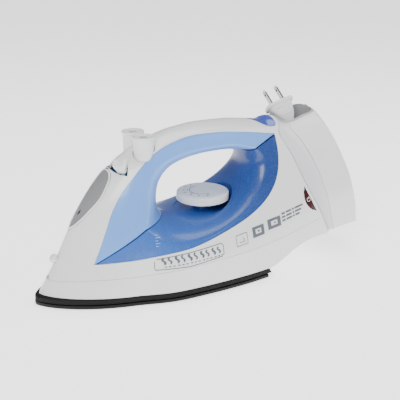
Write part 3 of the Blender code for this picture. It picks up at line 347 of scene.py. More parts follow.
# ---------------------------------------------------------------- materials
def look(name, colour, roughness=0.3, metallic=0.0, coat=0.0, grain=0.0, grain_scale=900.0, mottle=0.03):
    """A procedural material: slight colour variation, uneven gloss and a fine surface grain."""
    made = bpy.data.materials.new(name)
    made.use_nodes = True
    nodes, links = made.node_tree.nodes, made.node_tree.links
    shader = nodes["Principled BSDF"]
    shader.inputs["Metallic"].default_value = metallic
    shader.inputs["Coat Weight"].default_value = coat
    shader.inputs["Coat Roughness"].default_value = 0.08
    where = nodes.new("ShaderNodeTexCoord")
    cloud = nodes.new("ShaderNodeTexNoise")
    cloud.inputs["Scale"].default_value = 28
    cloud.inputs["Detail"].default_value = 4
    links.new(where.outputs["Object"], cloud.inputs["Vector"])
    ramp = nodes.new("ShaderNodeValToRGB")
    dark = [c * (1 - mottle) for c in colour]
    light = [min(c * (1 + mottle), 1) for c in colour]
    ramp.color_ramp.elements[0].position, ramp.color_ramp.elements[1].position = 0.3, 0.7
    ramp.color_ramp.elements[0].color = (*dark, 1)
    ramp.color_ramp.elements[1].color = (*light, 1)
    links.new(cloud.outputs["Fac"], ramp.inputs["Fac"])
    links.new(ramp.outputs["Color"], shader.inputs["Base Color"])
    gloss = nodes.new("ShaderNodeMapRange")
    gloss.inputs["From Min"].default_value, gloss.inputs["From Max"].default_value = 0.3, 0.7
    gloss.inputs["To Min"].default_value = roughness * 0.85
    gloss.inputs["To Max"].default_value = roughness * 1.15
    links.new(cloud.outputs["Fac"], gloss.inputs["Value"])
    links.new(gloss.outputs["Result"], shader.inputs["Roughness"])
    if grain:
        fine = nodes.new("ShaderNodeTexNoise")
        fine.inputs["Scale"].default_value = grain_scale
        fine.inputs["Detail"].default_value = 2
        links.new(where.outputs["Object"], fine.inputs["Vector"])
        bump = nodes.new("ShaderNodeBump")
        bump.inputs["Strength"].default_value = grain
        bump.inputs["Distance"].default_value = 0.0002
        links.new(fine.outputs["Fac"], bump.inputs["Height"])
        links.new(bump.outputs["Normal"], shader.inputs["Normal"])
    return made


def flecks_and_painted_shade(name, low, high, fleck):
    """Translucent tank plastic with fine light flecks in it, and painted shade that darkens its colour towards the
    rear.
    """
    made = look(name, high, roughness=0.36, coat=0.25, grain=0.05, grain_scale=900)
    nodes, links = made.node_tree.nodes, made.node_tree.links
    shader = nodes["Principled BSDF"]
    where = nodes["Texture Coordinate"]
    apart = nodes.new("ShaderNodeSeparateXYZ")
    links.new(where.outputs["Object"], apart.inputs["Vector"])
    # painted shade: the colour runs from the lit colour at the front to the shaded colour at the rear
    rear = nodes.new("ShaderNodeMapRange")
    rear.inputs["From Min"].default_value, rear.inputs["From Max"].default_value = -0.06, 0.055
    links.new(apart.outputs["X"], rear.inputs["Value"])
    shade = nodes.new("ShaderNodeValToRGB")
    shade.color_ramp.elements[0].color, shade.color_ramp.elements[1].color = (*high, 1), (*low, 1)
    links.new(rear.outputs["Result"], shade.inputs["Fac"])
    cells = nodes.new("ShaderNodeTexVoronoi")
    cells.inputs["Scale"].default_value = 2600
    links.new(where.outputs["Object"], cells.inputs["Vector"])
    pick = nodes.new("ShaderNodeSeparateXYZ")
    links.new(cells.outputs["Color"], pick.inputs["Vector"])
    bright = nodes.new("ShaderNodeMapRange")
    bright.inputs["From Min"].default_value, bright.inputs["From Max"].default_value = 0.86, 1.0
    bright.inputs["To Max"].default_value = 0.4
    links.new(pick.outputs["X"], bright.inputs["Value"])
    mix = nodes.new("ShaderNodeMix")
    mix.data_type = "RGBA"
    links.new(bright.outputs["Result"], mix.inputs["Factor"])
    links.new(shade.outputs["Color"], mix.inputs["A"])
    mix.inputs["B"].default_value = (*fleck, 1)
    links.new(mix.outputs["Result"], shader.inputs["Base Color"])
    return made


# ---------------------------------------------------------------- skins and outlines
def seam_to_collar(count, start):
    """Matching points along the upper shell's lower edge and places along the ridge."""
    low, ridge = [], []
    turn = int(count * 0.64)
    seam_end = float(collar_front_s(46))
    for f in np.linspace(0, 1, turn):
        s = start + (seam_end - start) * f**1.15
        low.append((s, float(seam_z(s)) + GAP))
        ridge.append(start + 0.5 + (225.5 - start) * f**1.05)
    for f in np.linspace(0, 1, count - turn + 1)[1:]:
        z = 46 + (139.5 - 46) * (1 - (1 - f)**1.6)
        low.append((float(collar_front_s(z)) - 1.5 * GAP, z))
        ridge.append(226 + (241.8 - 226) * f * f)
    return low, ridge


def plan_half(s):
    """Half the soleplate's width: the body's, stretched forward to the plate's tip."""
    forward = 4.5 * np.clip(1 - np.asarray(s, float) / 100, 0, 1)
    return half(s + forward, np.full(np.shape(s), 10.0))


def plan_outline(inset, rear, count=26):
    """The ironing plate's outline seen from above, as (s, y), inset from the skirt's line."""
    probe = np.linspace(0.02, 120, 2400)
    start = float(probe[np.argmax(plan_half(probe) > inset)]) + inset * 0.4
    s = start + (rear - start) * np.linspace(0, 1, count)**1.8
    near = [(a, -float(b)) for a, b in zip(s, plan_half(s) - inset)]
    near[0] = (start, 0.0)
    return near + [(a, -b) for a, b in near[:0:-1]]


def flare(u, fall):
    """The two exponents of the hand hole's rounding: blunt near the front corner, round elsewhere."""
    w = math.exp(-(u / fall)**2)
    return 2.0 - 0.4 * w, 2.0 - 0.85 * w


def hole_rib(outer, rim, inner, shape, inset=0.0, skin_count=4, round_count=6):
    """A rib from the window's edge, over the rim of the hand hole, to its far side."""
    outer, rim, inner = (np.array(p, float) for p in (outer, rim, inner))
    side = [outer + (rim - outer) * f for f in np.linspace(0, 1, skin_count)]
    rows = [(p[0], inset - float(half(*p)), p[1]) for p in side]
    width = float(half(*rim)) - inset
    for f in np.linspace(0, 1, round_count + 1)[1:]:
        c = math.cos(f * math.pi / 2)
        reach = (1 - c**shape[0])**(1 / shape[1])
        p = rim + (inner - rim) * reach
        rows.append((p[0], -width * c if f < 1 else 0.0, p[1]))
    near = np.array(rows)
    return np.vstack([near, near[-2::-1] * [1, -1, 1]])


def hole_ribs(window, rim, hole, count, fall, trim=0.0, skin_count=3, round_count=5):
    """Outer and inner ribs of a blue part; the inner ones lie a wall's thickness away from the hand."""
    outer, mid, inner = (along(curve, count, trim) for curve in (window, rim, hole))
    away = mid - inner
    away = inner + WALL * away / np.linalg.norm(away, axis=1)[:, None]
    skins = ([], [])
    for i in range(count):
        shape = flare(i / (count - 1), fall)
        skins[0].append(hole_rib(outer[i], mid[i], inner[i], shape, 0.0, skin_count, round_count))
        skins[1].append(hole_rib(outer[i], mid[i], away[i], shape, WALL, skin_count, round_count))
    return skins


def offset_outline(points, amount):
    """A closed (s, z) outline grown outwards by amount."""
    p = np.array(points, float)
    ahead, behind = np.roll(p, -1, axis=0), np.roll(p, 1, axis=0)
    tangent = ahead - behind
    tangent /= np.linalg.norm(tangent, axis=1)[:, None]
    normal = np.column_stack([tangent[:, 1], -tangent[:, 0]])
    area = np.sum(p[:, 0] * ahead[:, 1] - ahead[:, 0] * p[:, 1])
    return p + normal * amount * (1 if area > 0 else -1)


def window_outline(count):
    return np.vstack([along(WINDOW_UPPER, count), along(WINDOW_LOWER, count)[-2:0:-1]])


def skirt_column(q, levels, skin):
    """Points up the skirt's wall; q runs from -1 at its near rear end to 1 at the far one."""
    column = []
    for f in np.linspace(0, 1, levels):
        z = float(under_z(280 * q * q))
        for _ in range(3):
            front = float(skin.nose(z))
            s = front + (float(collar_front_s(z)) - GAP - front) * q * q
            low = float(under_z(s))
            z = low + (float(seam_z(s)) - low) * f
        y = float(skin.half(s, z)) if q else 0.0
        column.append((s, math.copysign(y, q), z))
    return np.array(column)


def collar_rows(skin, across, count):
    rows = []
    for v in np.linspace(0, 1, count):
        row = []
        for c in np.linspace(0, 1, across):
            z = 28.8 + (139.5 + 1.0 * c - 28.8) * (1 - (1 - v)**1.6)
            s = (float(collar_front_s(z)) + GAP) * (1 - c) + (float(collar_back_s(z)) - GAP) * c
            dip = 2.6 * 4 * c * (1 - c)
            row.append((s, -max(float(skin.half(s, z)) - dip, 1.5 - 0.3 * skin.inset), z - 0.4 * skin.inset * v))
        rows.append(row)
    return rows + [[(s, -y, z) for s, y, z in row] for row in rows[::-1]]


def funnel_prism(name, inset, depth, count):
    """A leaf-shaped prism square to the nose's upper face, cut by the filling funnel."""
    low, high = np.array([34.0, 62.0]), np.array([74.0, 113.5])
    run = high - low
    length = np.linalg.norm(run)
    run /= length
    out = np.array([-run[1], run[0]])
    widths = smooth([(0, 0.0), (0.12, 6.0), (0.35, 11.2), (0.62, 14.3), (0.85, 12.0), (0.95, 7.8), (1, 0.0)])
    f = np.linspace(0, 1, count)
    outline = [(t, -max(float(widths(t)) - inset, 0)) for t in f]
    outline += [(t, -w) for t, w in outline[-2:0:-1]]
    rings = []
    for level in (-depth, 16):
        ring = []
        for t, w in outline:
            floor = level + 12 * t if level < 0 else level
            t = (inset + (length - 2 * inset) * t)
            p = low + run * t + out * floor
            ring.append((p[0], w, p[1]))
        rings.append(ring)
    return grid(name, rings, closed=True)


def pocket_outline(grow):
    """The plug's pocket seen from above: round in front, nearly square behind."""
    ring = []
    middle, reach_front, reach_back = 262.0, 262.0 - POCKET_FRONT + grow, POCKET_BACK - 262.0 + grow
    for i in range(36):
        a = math.tau * (i + 0.5) / 36
        c, s = math.cos(a), math.sin(a)
        power = 0.42 if c > 0 else 0.6
        reach = reach_back if c > 0 else reach_front
        ring.append((middle + math.copysign(abs(c)**power, c) * reach,
                     math.copysign(abs(s)**0.6, s) * (POCKET_HALF + grow)))
    return ring


def nozzle_line(start, end):
    foot, out = np.array([21.2, 0, 38.5]), np.array([-0.86, 0, 0.51])
    return tuple(foot + out * start), tuple(foot + out * end)


def rewind_outline(grow):
    """The rewind button seen from above: a point in front, widening to a round back."""
    t = np.linspace(0, 1, 14)
    front, back, widest = 214.0, 239.5, 17.4
    w = widest * np.sin(np.pi / 2 * np.clip(t / 0.82, 0, 1))**1.25 * np.sqrt(1 - np.clip((t - 0.82) / 0.18, 0, 1)**2)
    near = [(front + (back - front) * f, -float(b)) for f, b in zip(t, w)]
    near[0], near[-1] = (front, 0.0), (back, 0.0)
    ring = near + [(s, -y) for s, y in near[-2:0:-1]]
    return offset_outline(ring, grow) if grow else ring


def lens_outline(grow):
    top, bottom = np.array([257.5, 76.5]), np.array([267.6, 54.0])
    run = bottom - top
    across = np.array([-run[1], run[0]]) / np.linalg.norm(run)
    out = []
    for t in np.linspace(0, 1, 9):
        belly = 6.2 * math.sin(math.pi * t)**0.8
        p = top + run * t + across * -belly
        out.append(tuple(p))
    ring = np.array(out)
    middle = ring.mean(axis=0)
    return [tuple(p) for p in middle + (ring - middle) * (1 + grow / 3.2)]


def over_ridge(edge, ridge_s, count, skin=OUTER):
    """A rib on a skin, from an edge point up to the ridge and down the far side."""
    t = spread(count)[:, None]
    side = np.array(edge) + (np.array(skin.ridge_at(ridge_s)) - np.array(edge)) * t
    y = np.maximum(skin.half(side[:, 0], side[:, 1]), 0.05)
    y[-1] = 0
    near = np.column_stack([side[:, 0], -y, side[:, 1]])
    far = near[-2::-1] * [1, -1, 1]
    return np.vstack([near, far])


def spread(count, crowd=2.0):
    """Fractions from 0 to 1, crowded towards 1."""
    return 1 - (1 - np.linspace(0, 1, count))**crowd


def lever_point(forward, side, up, turn=LEVER_TURN):
    """A point in the steam lever's own frame: forward of its axis, to the far side and up along it."""
    a, b = math.radians(LEVER_TILT), math.radians(turn)
    forward, side = forward * math.cos(b) + side * math.sin(b), side * math.cos(b) - forward * math.sin(b)
    return (LEVER_PIVOT[0] - forward * math.cos(a) - up * math.sin(a), LEVER_PIVOT[1] + side,
            LEVER_PIVOT[2] - forward * math.sin(a) + up * math.cos(a))


def lever_slot(name):
    """The arc the steam lever's paddle swings through, cut straight down."""
    squeeze = math.cos(math.radians(LEVER_TILT))
    turns = np.radians(np.linspace(-55, 55, 13))
    ring = [(r, a) for r, sweep in ((LEVER_REACH + 3.6, turns), (LEVER_REACH - 3.6, turns[::-1])) for a in sweep]
    return prism(name, [(96.2 - r * squeeze * math.cos(a), r * math.sin(a)) for r, a in ring], 100, 130, "Z")


SHELL = look("shell_white", (0.80, 0.81, 0.82), 0.24, coat=0.35, grain=0.03, mottle=0.008)
COVER = look("cover_white", (0.82, 0.83, 0.84), 0.20, coat=0.45, grain=0.02, mottle=0.008)
COLLAR = look("collar_grey", (0.70, 0.71, 0.73), 0.34, grain=0.05, mottle=0.012)
GRIP = look("grip_blue", (0.15, 0.34, 0.80), 0.3, coat=0.3, grain=0.05, mottle=0.02)
# the tank's first colour is painted shade for its rear, the second its lit front, the third its own flecks
TANK = flecks_and_painted_shade("tank_blue", (0.010, 0.042, 0.20), (0.030, 0.115, 0.42), (0.14, 0.30, 0.70))
CONTROL = look("control_white", (0.80, 0.805, 0.81), 0.3, coat=0.2, grain=0.05, mottle=0.012)
REWIND = look("rewind_blue", (0.020, 0.060, 0.42), 0.22, coat=0.5, grain=0.03, mottle=0.03)
LENS = look("lens_red", (0.05, 0.002, 0.004), 0.2, coat=0.3, mottle=0.15)
SOLE = look("sole_black", (0.0025, 0.0025, 0.003), 0.42, grain=0.06, grain_scale=1500, mottle=0.1)
BAND = look("band_black", (0.002, 0.002, 0.0022), 0.6, grain=0.1, mottle=0.1)
# painted shade: the filling funnel's bowl, white plastic like the shell, is coloured dark grey for the shade in its
# hollow
BOWL_PAINTED_SHADE = look("bowl_painted_shade", (0.20, 0.205, 0.215), 0.5, mottle=0.05)
# painted shade: the plug's cradle, of the collar's grey plastic, is coloured a darker grey for the shade in the pocket
POCKET = look("pocket_painted_shade", (0.42, 0.43, 0.45), 0.45, grain=0.04, mottle=0.02)
for black in (SOLE, BAND):
    black.node_tree.nodes["Principled BSDF"].inputs["Specular IOR Level"].default_value = 0.22
NICKEL = look("nickel", (0.36, 0.35, 0.33), 0.26, metallic=1.0, grain=0.05, mottle=0.05)
STEEL_LOOK = look("steel", (0.55, 0.55, 0.56), 0.3, metallic=1.0, grain=0.1, mottle=0.06)
CAST = look("cast_aluminium", (0.55, 0.55, 0.54), 0.45, metallic=1.0, grain=0.4, grain_scale=600, mottle=0.06)
BRASS_LOOK = look("brass", (0.66, 0.46, 0.17), 0.3, metallic=1.0, grain=0.05, mottle=0.08)
RUBBER_LOOK = look("silicone", (0.30, 0.07, 0.05), 0.6, grain=0.1, mottle=0.1)
NYLON_LOOK = look("nylon", (0.66, 0.64, 0.57), 0.45, grain=0.1, mottle=0.04)
BOARD = look("board_green", (0.03, 0.16, 0.07), 0.4, grain=0.1, mottle=0.2)
CORD_LOOK = look("cord_white", (0.68, 0.68, 0.67), 0.55, grain=0.15, mottle=0.04)
WIRE = look("wire_black", (0.02, 0.02, 0.02), 0.5, grain=0.1, mottle=0.1)
INK = look("print_grey", (0.10, 0.115, 0.14), 0.5, mottle=0.04)
PALE_INK = look("print_pale", (0.20, 0.38, 0.78), 0.5, mottle=0.04)

SLOT_LOOKS = {"sole_black": SOLE, "band_black": BAND, "casting": CAST, "steel": STEEL_LOOK, "brass": BRASS_LOOK,
              "rubber_red": RUBBER_LOOK, "shell_white": SHELL, "collar_grey": COLLAR, "grip_blue": GRIP,
              "tank_blue": TANK, "control_white": CONTROL, "rewind_blue": REWIND, "lens_red": LENS,
              "nylon": NYLON_LOOK, "cord_white": CORD_LOOK, "board_green": BOARD, "wire_black": WIRE}
for part in frame["record"]["subparts"]:
    node = frame["nodes"][part["node"]]
    node.data.materials.clear()
    node.data.materials.append(SLOT_LOOKS[part["material_slot"]])
for name in ("plug_blade_left", "plug_blade_right"):
    frame["nodes"][name].data.materials[0] = NICKEL


# ---------------------------------------------------------------- marks printed on the near side
def on_side(s, z, lift=0.12):
    return (s, -(float(half(s, z)) + lift), z)


def strip(points, width, closed=False):
    """Rows of two points each along a flat line of a width, in side coordinates."""
    p = np.array(points, float)
    if closed:
        p = np.vstack([p, p[0]])
    fine = [p[0]]
    for a, b in zip(p, p[1:]):
        n = max(int(np.linalg.norm(b - a) / 1.0), 1)
        fine += [a + (b - a) * k / n for k in range(1, n + 1)]
    fine = np.array(fine)
    t = np.gradient(fine, axis=0)
    t /= np.linalg.norm(t, axis=1)[:, None]
    side = np.column_stack([-t[:, 1], t[:, 0]]) * width / 2
    return [(a, b) for a, b in zip(fine + side, fine - side)]


def printed(name, strips, body="housing", material=INK, slot="control_white", place=on_side):
    """One thin mark made of many strips laid on a surface."""
    points, faces = [], []
    for rows in strips:
        base = len(points)
        for a, b in rows:
            points += [place(*a), place(*b)]
        faces += [(base + 2 * i, base + 2 * i + 1, base + 2 * i + 3, base + 2 * i + 2) for i in range(len(rows) - 1)]
    mesh = bpy.data.meshes.new(name)
    mesh.from_pydata([tuple(v) for v in world(points)], [], faces)
    return stand_for(link(name, mesh), body, slot, material)


def slant(low, high, u, v):
    """A point of a slanted box: u runs along the side, v up, both 0 to 1."""
    (s0, z0), (s1, z1) = low, high
    rise = 0.105 * (s1 - s0)
    return (s0 + (s1 - s0) * u, z0 + rise * u + (z1 - z0 - rise) * v)


def block(low, high, u0, u1, v0, v1):
    """A filled patch of a slanted box, as one wide strip."""
    rows = []
    for k in range(9):
        u = u0 + (u1 - u0) * k / 8
        rows.append((slant(low, high, u, v0), slant(low, high, u, v1)))
    return rows


# ---------------------------------------------------------------- housing
def make_upper_shell():
    skins = [[over_ridge(edge, s, 34, skin) for edge, s in zip(*seam_to_collar(120, start))]
             for skin, start in ((OUTER, 13.4), (INNER, 17.0))]
    body = wall("shell_surface", *skins)
    holes = [prism("window", offset_outline(window_outline(90), 0.8 * GAP), -90, 90)]
    holes += [rod(f"button_bore_{side}", (BUTTON_S, side * BUTTON_Y, 100), (BUTTON_S, side * BUTTON_Y, 160),
                  BUTTON_R + 0.5, 64) for side in (-1, 1)]
    holes.append(funnel_prism("funnel_hole", 0.0, 20, 40))
    holes.append(lever_slot("lever_slot"))
    holes.append(prism("rewind_hole", rewind_outline(GAP), 100, 160, "Z"))
    a, b = nozzle_line(-6, 6)
    holes.append(rod("nozzle_hole", tuple(a), tuple(b), 3.4))
    holes.append(prism("lens_hole", lens_outline(GAP), -60, -20))
    combine(body, holes)
    stand_for(body, "housing", "shell_white", SHELL, "upper_shell")

    ring = offset_outline(window_outline(110), 0.9)
    lip = tube("window_lip", [on_side(s, z, -0.28) for s, z in ring], 0.55, 8, closed=True)
    stand_for(lip, "housing", "shell_white", COVER)
    mirrored = [(s, -y, z) for s, y, z in (on_side(s, z, -0.28) for s, z in ring)]
    far = tube("window_lip_far", mirrored, 0.55, 8, True)
    stand_for(far, "housing", "shell_white", COVER)


def make_skirt():
    places = np.linspace(-1, 1, 181)
    outer, inner = ([skirt_column(q, 10, skin) for q in places] for skin in (OUTER, INNER))
    stand_for(wall("skirt_surface", outer, inner), "housing", "shell_white", SHELL, "skirt")


def make_collar():
    collar = wall("collar_surface", collar_rows(OUTER, 14, 90), collar_rows(INNER, 14, 90))
    combine(collar, [prism("pocket_in_collar", pocket_outline(1.4 + GAP), 100, 200, "Z"), plug_room()])
    stand_for(collar, "housing", "collar_grey", COLLAR, "collar")


def make_reel_cover():
    back = smooth([(0, 330.2), (0.35, 322), (0.62, 303), (0.8, 289), (1, 262)])
    edges, ridge = [], []
    for v in np.linspace(0, 1, 90):
        z = 30.2 + (139.5 - 30.2) * v
        edges.append((float(collar_back_s(z)) + GAP, z))
        ridge.append(float(back(v)))
    skins = [[over_ridge(edge, s, 34, skin) for edge, s in zip(edges, ridge)] for skin in (OUTER, INNER)]
    cover = wall("cover_surface", *skins)
    cuts = [prism("pocket_in_cover", pocket_outline(1.4 + GAP), 100, 200, "Z")]
    cuts += [rod(f"cover_screw_hole_{y}", (310, y, 45), (340, y, 45), 3.5, 32) for y in (-20, 20)]
    combine(cover, cuts)
    stand_for(cover, "housing", "shell_white", COVER, "reel_cover")


def make_base():
    edge = rounded([(0.0, SOLE_Z), (0.0, 0.9), (0.9, 0.0), (1.6, 0.0)], 0.5, 3)
    rings = [[(s, y, z) for s, y in plan_outline(inset + 0.12, SOLE_LENGTH, 90)] for inset, z in edge]
    plate = grid("sole_skin", rings, closed=True)
    casting = prism("casting", plan_outline(21, SOLE_LENGTH - 22, 60), SOLE_Z - 1, 15, "Z")
    combine(plate, [casting], "UNION")
    cuts = [prism("chamber", plan_outline(28, SOLE_LENGTH - 30, 60), 8, 20, "Z")]
    for s, spread_y in ((44, 0), (58, 9), (74, 17), (92, 22), (112, 25), (134, 27)):
        cuts += [rod("vent", (s, y, -2), (s, y, 10), 1.6, 32) for y in sorted({-spread_y, spread_y})]
    combine(plate, cuts)
    stand_for(plate, "housing", "sole_black", SOLE, "soleplate")
    band = [[(s - (z - SOLE_Z) * 0.55 * (s > SOLE_LENGTH - 3), y, z)
             for s, y in plan_outline(inset, SOLE_LENGTH + 4.5, 90)]
            for inset, z in ((1.4, SOLE_Z + GAP), (0.9, SOLE_Z + 0.8), (0.9, BAND_Z - 1.2), (1.8, BAND_Z - 0.4),
                             (2.4, BAND_Z))]
    body = grid("band_surface", band, closed=True)
    combine(body, [prism("band_hole", plan_outline(8, SOLE_LENGTH - 6, 60), 0, 20, "Z")])
    stand_for(body, "housing", "band_black", BAND, "heat_band")


def body_solid(name):
    rows = []
    for s in np.concatenate([np.linspace(16, 90, 60), np.linspace(92, 322, 110)]):
        rows.append(over_ridge((s, float(seam_z(s)) - 4), s, 34))
    return grid(name, rows, closed=True)


def funnel_rim(inset):
    """The funnel's mouth on the nose: where the leaf's walls meet the skin."""
    low, high = np.array([34.0, 62.0]), np.array([74.0, 113.5])
    length = np.linalg.norm(high - low)
    run = (high - low) / length
    out = np.array([-run[1], run[0]])
    widths = smooth([(0, 0.0), (0.12, 6.0), (0.35, 11.2), (0.62, 14.3), (0.85, 12.0), (0.95, 7.8), (1, 0.0)])
    near = []
    for t in np.linspace(0.02, 0.975, 60):
        w = max(float(widths(t)) - inset, 0.3)
        base = low + run * (inset + (length - 2 * inset) * t)
        for level in np.linspace(14, -12, 140):
            s, z = base + out * level
            if float(half(s, z)) >= w:
                near.append((s, w, z))
                break
    return [(s, -w, z) for s, w, z in near] + near[::-1]


def make_funnel():
    bowl = funnel_prism("funnel_surface", GAP, 15.5, 40)
    combine(bowl, [body_solid("body")], "INTERSECT")
    combine(bowl, [funnel_prism("funnel_hollow", 1.8, 13.5, 40), lever_slot("lever_room"),
                   rod("fill_hole", (44.3, 0, 79), (57.3, 0, 69.8), 3.6)])
    # the bowl takes the painted shade grey instead of the shell's white
    stand_for(bowl, "housing", "shell_white", BOWL_PAINTED_SHADE, "fill_funnel")
    rim = funnel_rim(0.9)
    stand_for(tube("funnel_rim", rim, 0.9, 8, closed=True), "housing", "shell_white", COVER)


def make_blue_parts():
    outer, inner = hole_ribs(WINDOW_UPPER, RIM_UPPER, HOLE_UPPER, 96, 0.12, 0.0, 16, 28)
    grip = wall("grip_surface", outer, inner)
    combine(grip, [rod(f"button_bore_{side}", (BUTTON_S, side * BUTTON_Y, 100), (BUTTON_S, side * BUTTON_Y, 160),
                       BUTTON_R + GAP, 64) for side in (-1, 1)])
    stand_for(grip, "housing", "grip_blue", GRIP, "grip")
    outer, inner = hole_ribs(WINDOW_LOWER, RIM_LOWER, HOLE_LOWER, 96, 0.12, 0.008, 16, 28)
    tank = wall("tank_surface", outer, inner)
    hub_z, floor_z, lip = DIAL_BOTTOM - 1.2, 61.5, RECESS_R + 1.4
    seat = turned("dial_recess", [(4.2, 34.2), (4.2, hub_z), (10, hub_z), (10.8, floor_z + 0.5), (11.6, floor_z),
                                  (RECESS_R + 0.6, floor_z), (RECESS_R + 0.6, floor_z - 1.8), (6.2, floor_z - 1.8),
                                  (6.2, 34.2)], (DIAL_S, 0, 0))
    ring = [(RECESS_R, 110), (lip, 110), (lip, floor_z - 1.2), (RECESS_R, floor_z - 1.2), (RECESS_R, 110)]
    side = turned("recess_wall", ring, (DIAL_S, 0, 0))
    solid = grid("tank_solid", outer, closed=True)
    combine(side, [solid], "INTERSECT", "EXACT")
    stand_for(seat, "housing", "tank_blue", TANK, "dial_seat")
    stand_for(side, "housing", "tank_blue", TANK)
    combine(tank, [turned("dial_well", [(0, 110), (lip + 0.15, 110), (lip + 0.15, 40), (0, 40)], (DIAL_S, 0, 0))])
    stand_for(tank, "housing", "tank_blue", TANK, "tank")


# ---------------------------------------------------------------- controls
def make_dial():
    """The dial: fine ribs round the upper rim, a bead below and rings on its face."""
    steps, ribs = 720, 60
    profile = [(0.0, DIAL_BOTTOM, 0), (DIAL_R - 1.2, DIAL_BOTTOM, 0), (DIAL_R - 0.4, DIAL_BOTTOM + 0.3, 0),
               (DIAL_R, DIAL_BOTTOM + 1.1, 0), (DIAL_R - 0.3, DIAL_BOTTOM + 2.0, 0), (DIAL_R - 0.8, DIAL_BOTTOM + 2.4, 0),
               (DIAL_R - 0.9, DIAL_BOTTOM + 2.6, 1), (DIAL_R - 0.9, DIAL_TOP - 1.5, 1), (DIAL_R - 1.3, DIAL_TOP - 0.8, 1),
               (DIAL_R - 2.0, DIAL_TOP - 0.35, 0.5), (DIAL_R - 2.8, DIAL_TOP - 0.25, 0), (DIAL_R - 3.2, DIAL_TOP - 0.5, 0),
               (DIAL_R - 3.6, DIAL_TOP, 0), (16.2, DIAL_TOP, 0), (15.9, DIAL_TOP - 0.35, 0), (15.6, DIAL_TOP, 0),
               (10.2, DIAL_TOP, 0), (9.9, DIAL_TOP - 0.3, 0), (9.6, DIAL_TOP, 0), (0.0, DIAL_TOP, 0)]
    rows = []
    for r, z, ribbed in profile:
        row = []
        for i in range(steps):
            a = math.tau * i / steps
            out = r + ribbed * 0.62 * abs(math.sin(a * ribs / 2))
            row.append((DIAL_S + out * math.cos(a), out * math.sin(a), z))
        rows.append(row)
    stand_for(grid("dial_surface", rows, closed=True), "dial", "control_white", CONTROL, "temperature_dial")

    def on_dial(r, degrees):
        a = math.radians(degrees)
        return (DIAL_S + r * math.cos(a), r * math.sin(a), DIAL_TOP + 0.06)
    marks = []
    for k in range(7):
        a = 100 + k * 26
        size = 1.6 + 0.35 * k
        marks.append([((r, a - size / 2 - 1), (r, a + size / 2 + 1)) for r in (16.9, 18.6)])
    for k in range(40):
        marks.append([((12.0, 96 + k * 4.4), (12.7, 96 + k * 4.4)),
                      ((12.0, 100.4 + k * 4.4), (12.7, 100.4 + k * 4.4))])
    for k in range(5):
        for j in range(k % 3 + 1):
            a = 112 + k * 36 + j * 8
            marks.append([((13.6, a), (13.6, a + 5)), ((14.6, a), (14.6, a + 5))])
    printed("dial_scale", marks, "dial", place=on_dial)


def make_buttons():
    r, top, foot = BUTTON_R, BUTTON_TOP, BUTTON_FOOT
    profile = rounded([(0, foot), (r, foot), (r - 0.2, top - 12), (r + 0.1, top - 3.2), (r + 1, top - 1.9),
                       (r + 1, top - 0.4), (r + 0.3, top), (r - 0.8, top - 0.15), (6.0, top - 1.0), (0, top - 1.3)], 0.8)
    for name, side in (("spray", -1), ("steam", 1)):
        cap = turned(f"{name}_cap", profile, (BUTTON_S, side * BUTTON_Y, 0))
        stand_for(cap, name, "control_white", CONTROL, f"{name}_button")

        def on_cap(u, v, y0=side * BUTTON_Y):
            return (BUTTON_S + u, y0 + v, top - 1.0 + 0.12)
        marks = []
        for k in (-1, 0, 1):
            wave = [(-3 + 6 * i / 12, k * 1.9 + 0.5 * math.sin(math.tau * i / 12)) for i in range(13)]
            marks.append([((u, v - 0.25), (u, v + 0.25)) for u, v in wave])
        printed(f"{name}_icon", marks, name, place=on_cap)


def make_lever():
    """The steam lever: a paddle with two lobes and a face that slopes forward, on its arm and hub."""
    half_edge = [(4.2, 8), (4.3, 10), (4.4, 12), (5.2, 14), (6.1, 15.6), (6.6, 17), (6.7, 18.2), (6.2, 19.1), (5.3, 19.6),
                 (4.3, 19.5), (3.2, 18.9), (2.0, 18.2), (0.9, 17.8)]
    edge = [(-y, u) for y, u in half_edge] + [(0, 17.7)] + half_edge[::-1]
    rows = []
    for f, grow, fall in ((-2.6, 0.88, 0.5), (-2.4, 0.95, 0.2), (-2.0, 1, 0), (-0.8, 1, 0), (0.6, 1, 1.2), (1.6, 0.99, 2.6),
                          (2.3, 0.95, 3.6), (2.6, 0.88, 4.2)):
        rows.append([lever_point(LEVER_REACH + f, y * grow, 8 + (u - 8) * (1 - fall / 12)) for y, u in edge])
    lever = grid("lever_surface", rows, closed=True)
    corners = [(-3, -2.2, 0), (LEVER_REACH + 1.6, -2.2, 5.2), (LEVER_REACH + 1.6, 2.2, 5.2), (-3, 2.2, 0)]
    rows = [[lever_point(f, y, u + rise) for f, y, rise in corners] for u in (-5.8, -3.8)]
    arm = grid("arm", rows, closed=True)
    stem = rod("stem", lever_point(LEVER_REACH, 0, 0.2), lever_point(LEVER_REACH, 0, 9.5), 1.9)
    hub = rod("hub", lever_point(0, 0, -7.5), lever_point(0, 0, -2.5), 4.2)
    combine(lever, [stem, arm, hub], "UNION")
    stand_for(lever, "lever", "control_white", CONTROL, "steam_lever")


def make_nozzle():
    out = Vector((-0.86, 0, 0.51))
    profile = [(3.0, -5), (3.0, 0.6), (4.0, 0.9), (4.3, 1.6), (4.0, 2.6), (3.4, 3.7), (2.6, 4.4), (1.4, 4.65),
               (0.5, 4.6), (0.45, 3.8), (0, 3.8)]
    nozzle = turned("nozzle_surface", [(0, -5)] + profile, (21.2, 0, 38.5), out, 64)
    stand_for(nozzle, "housing", "shell_white", CONTROL, "spray_nozzle")


def make_rewind():
    cap = prism("rewind_surface", rewind_outline(0), 132.6, 160, "Z")
    combine(cap, [body_solid("body")], "INTERSECT")
    stand_for(cap, "rewind", "rewind_blue", REWIND, "rewind_button")


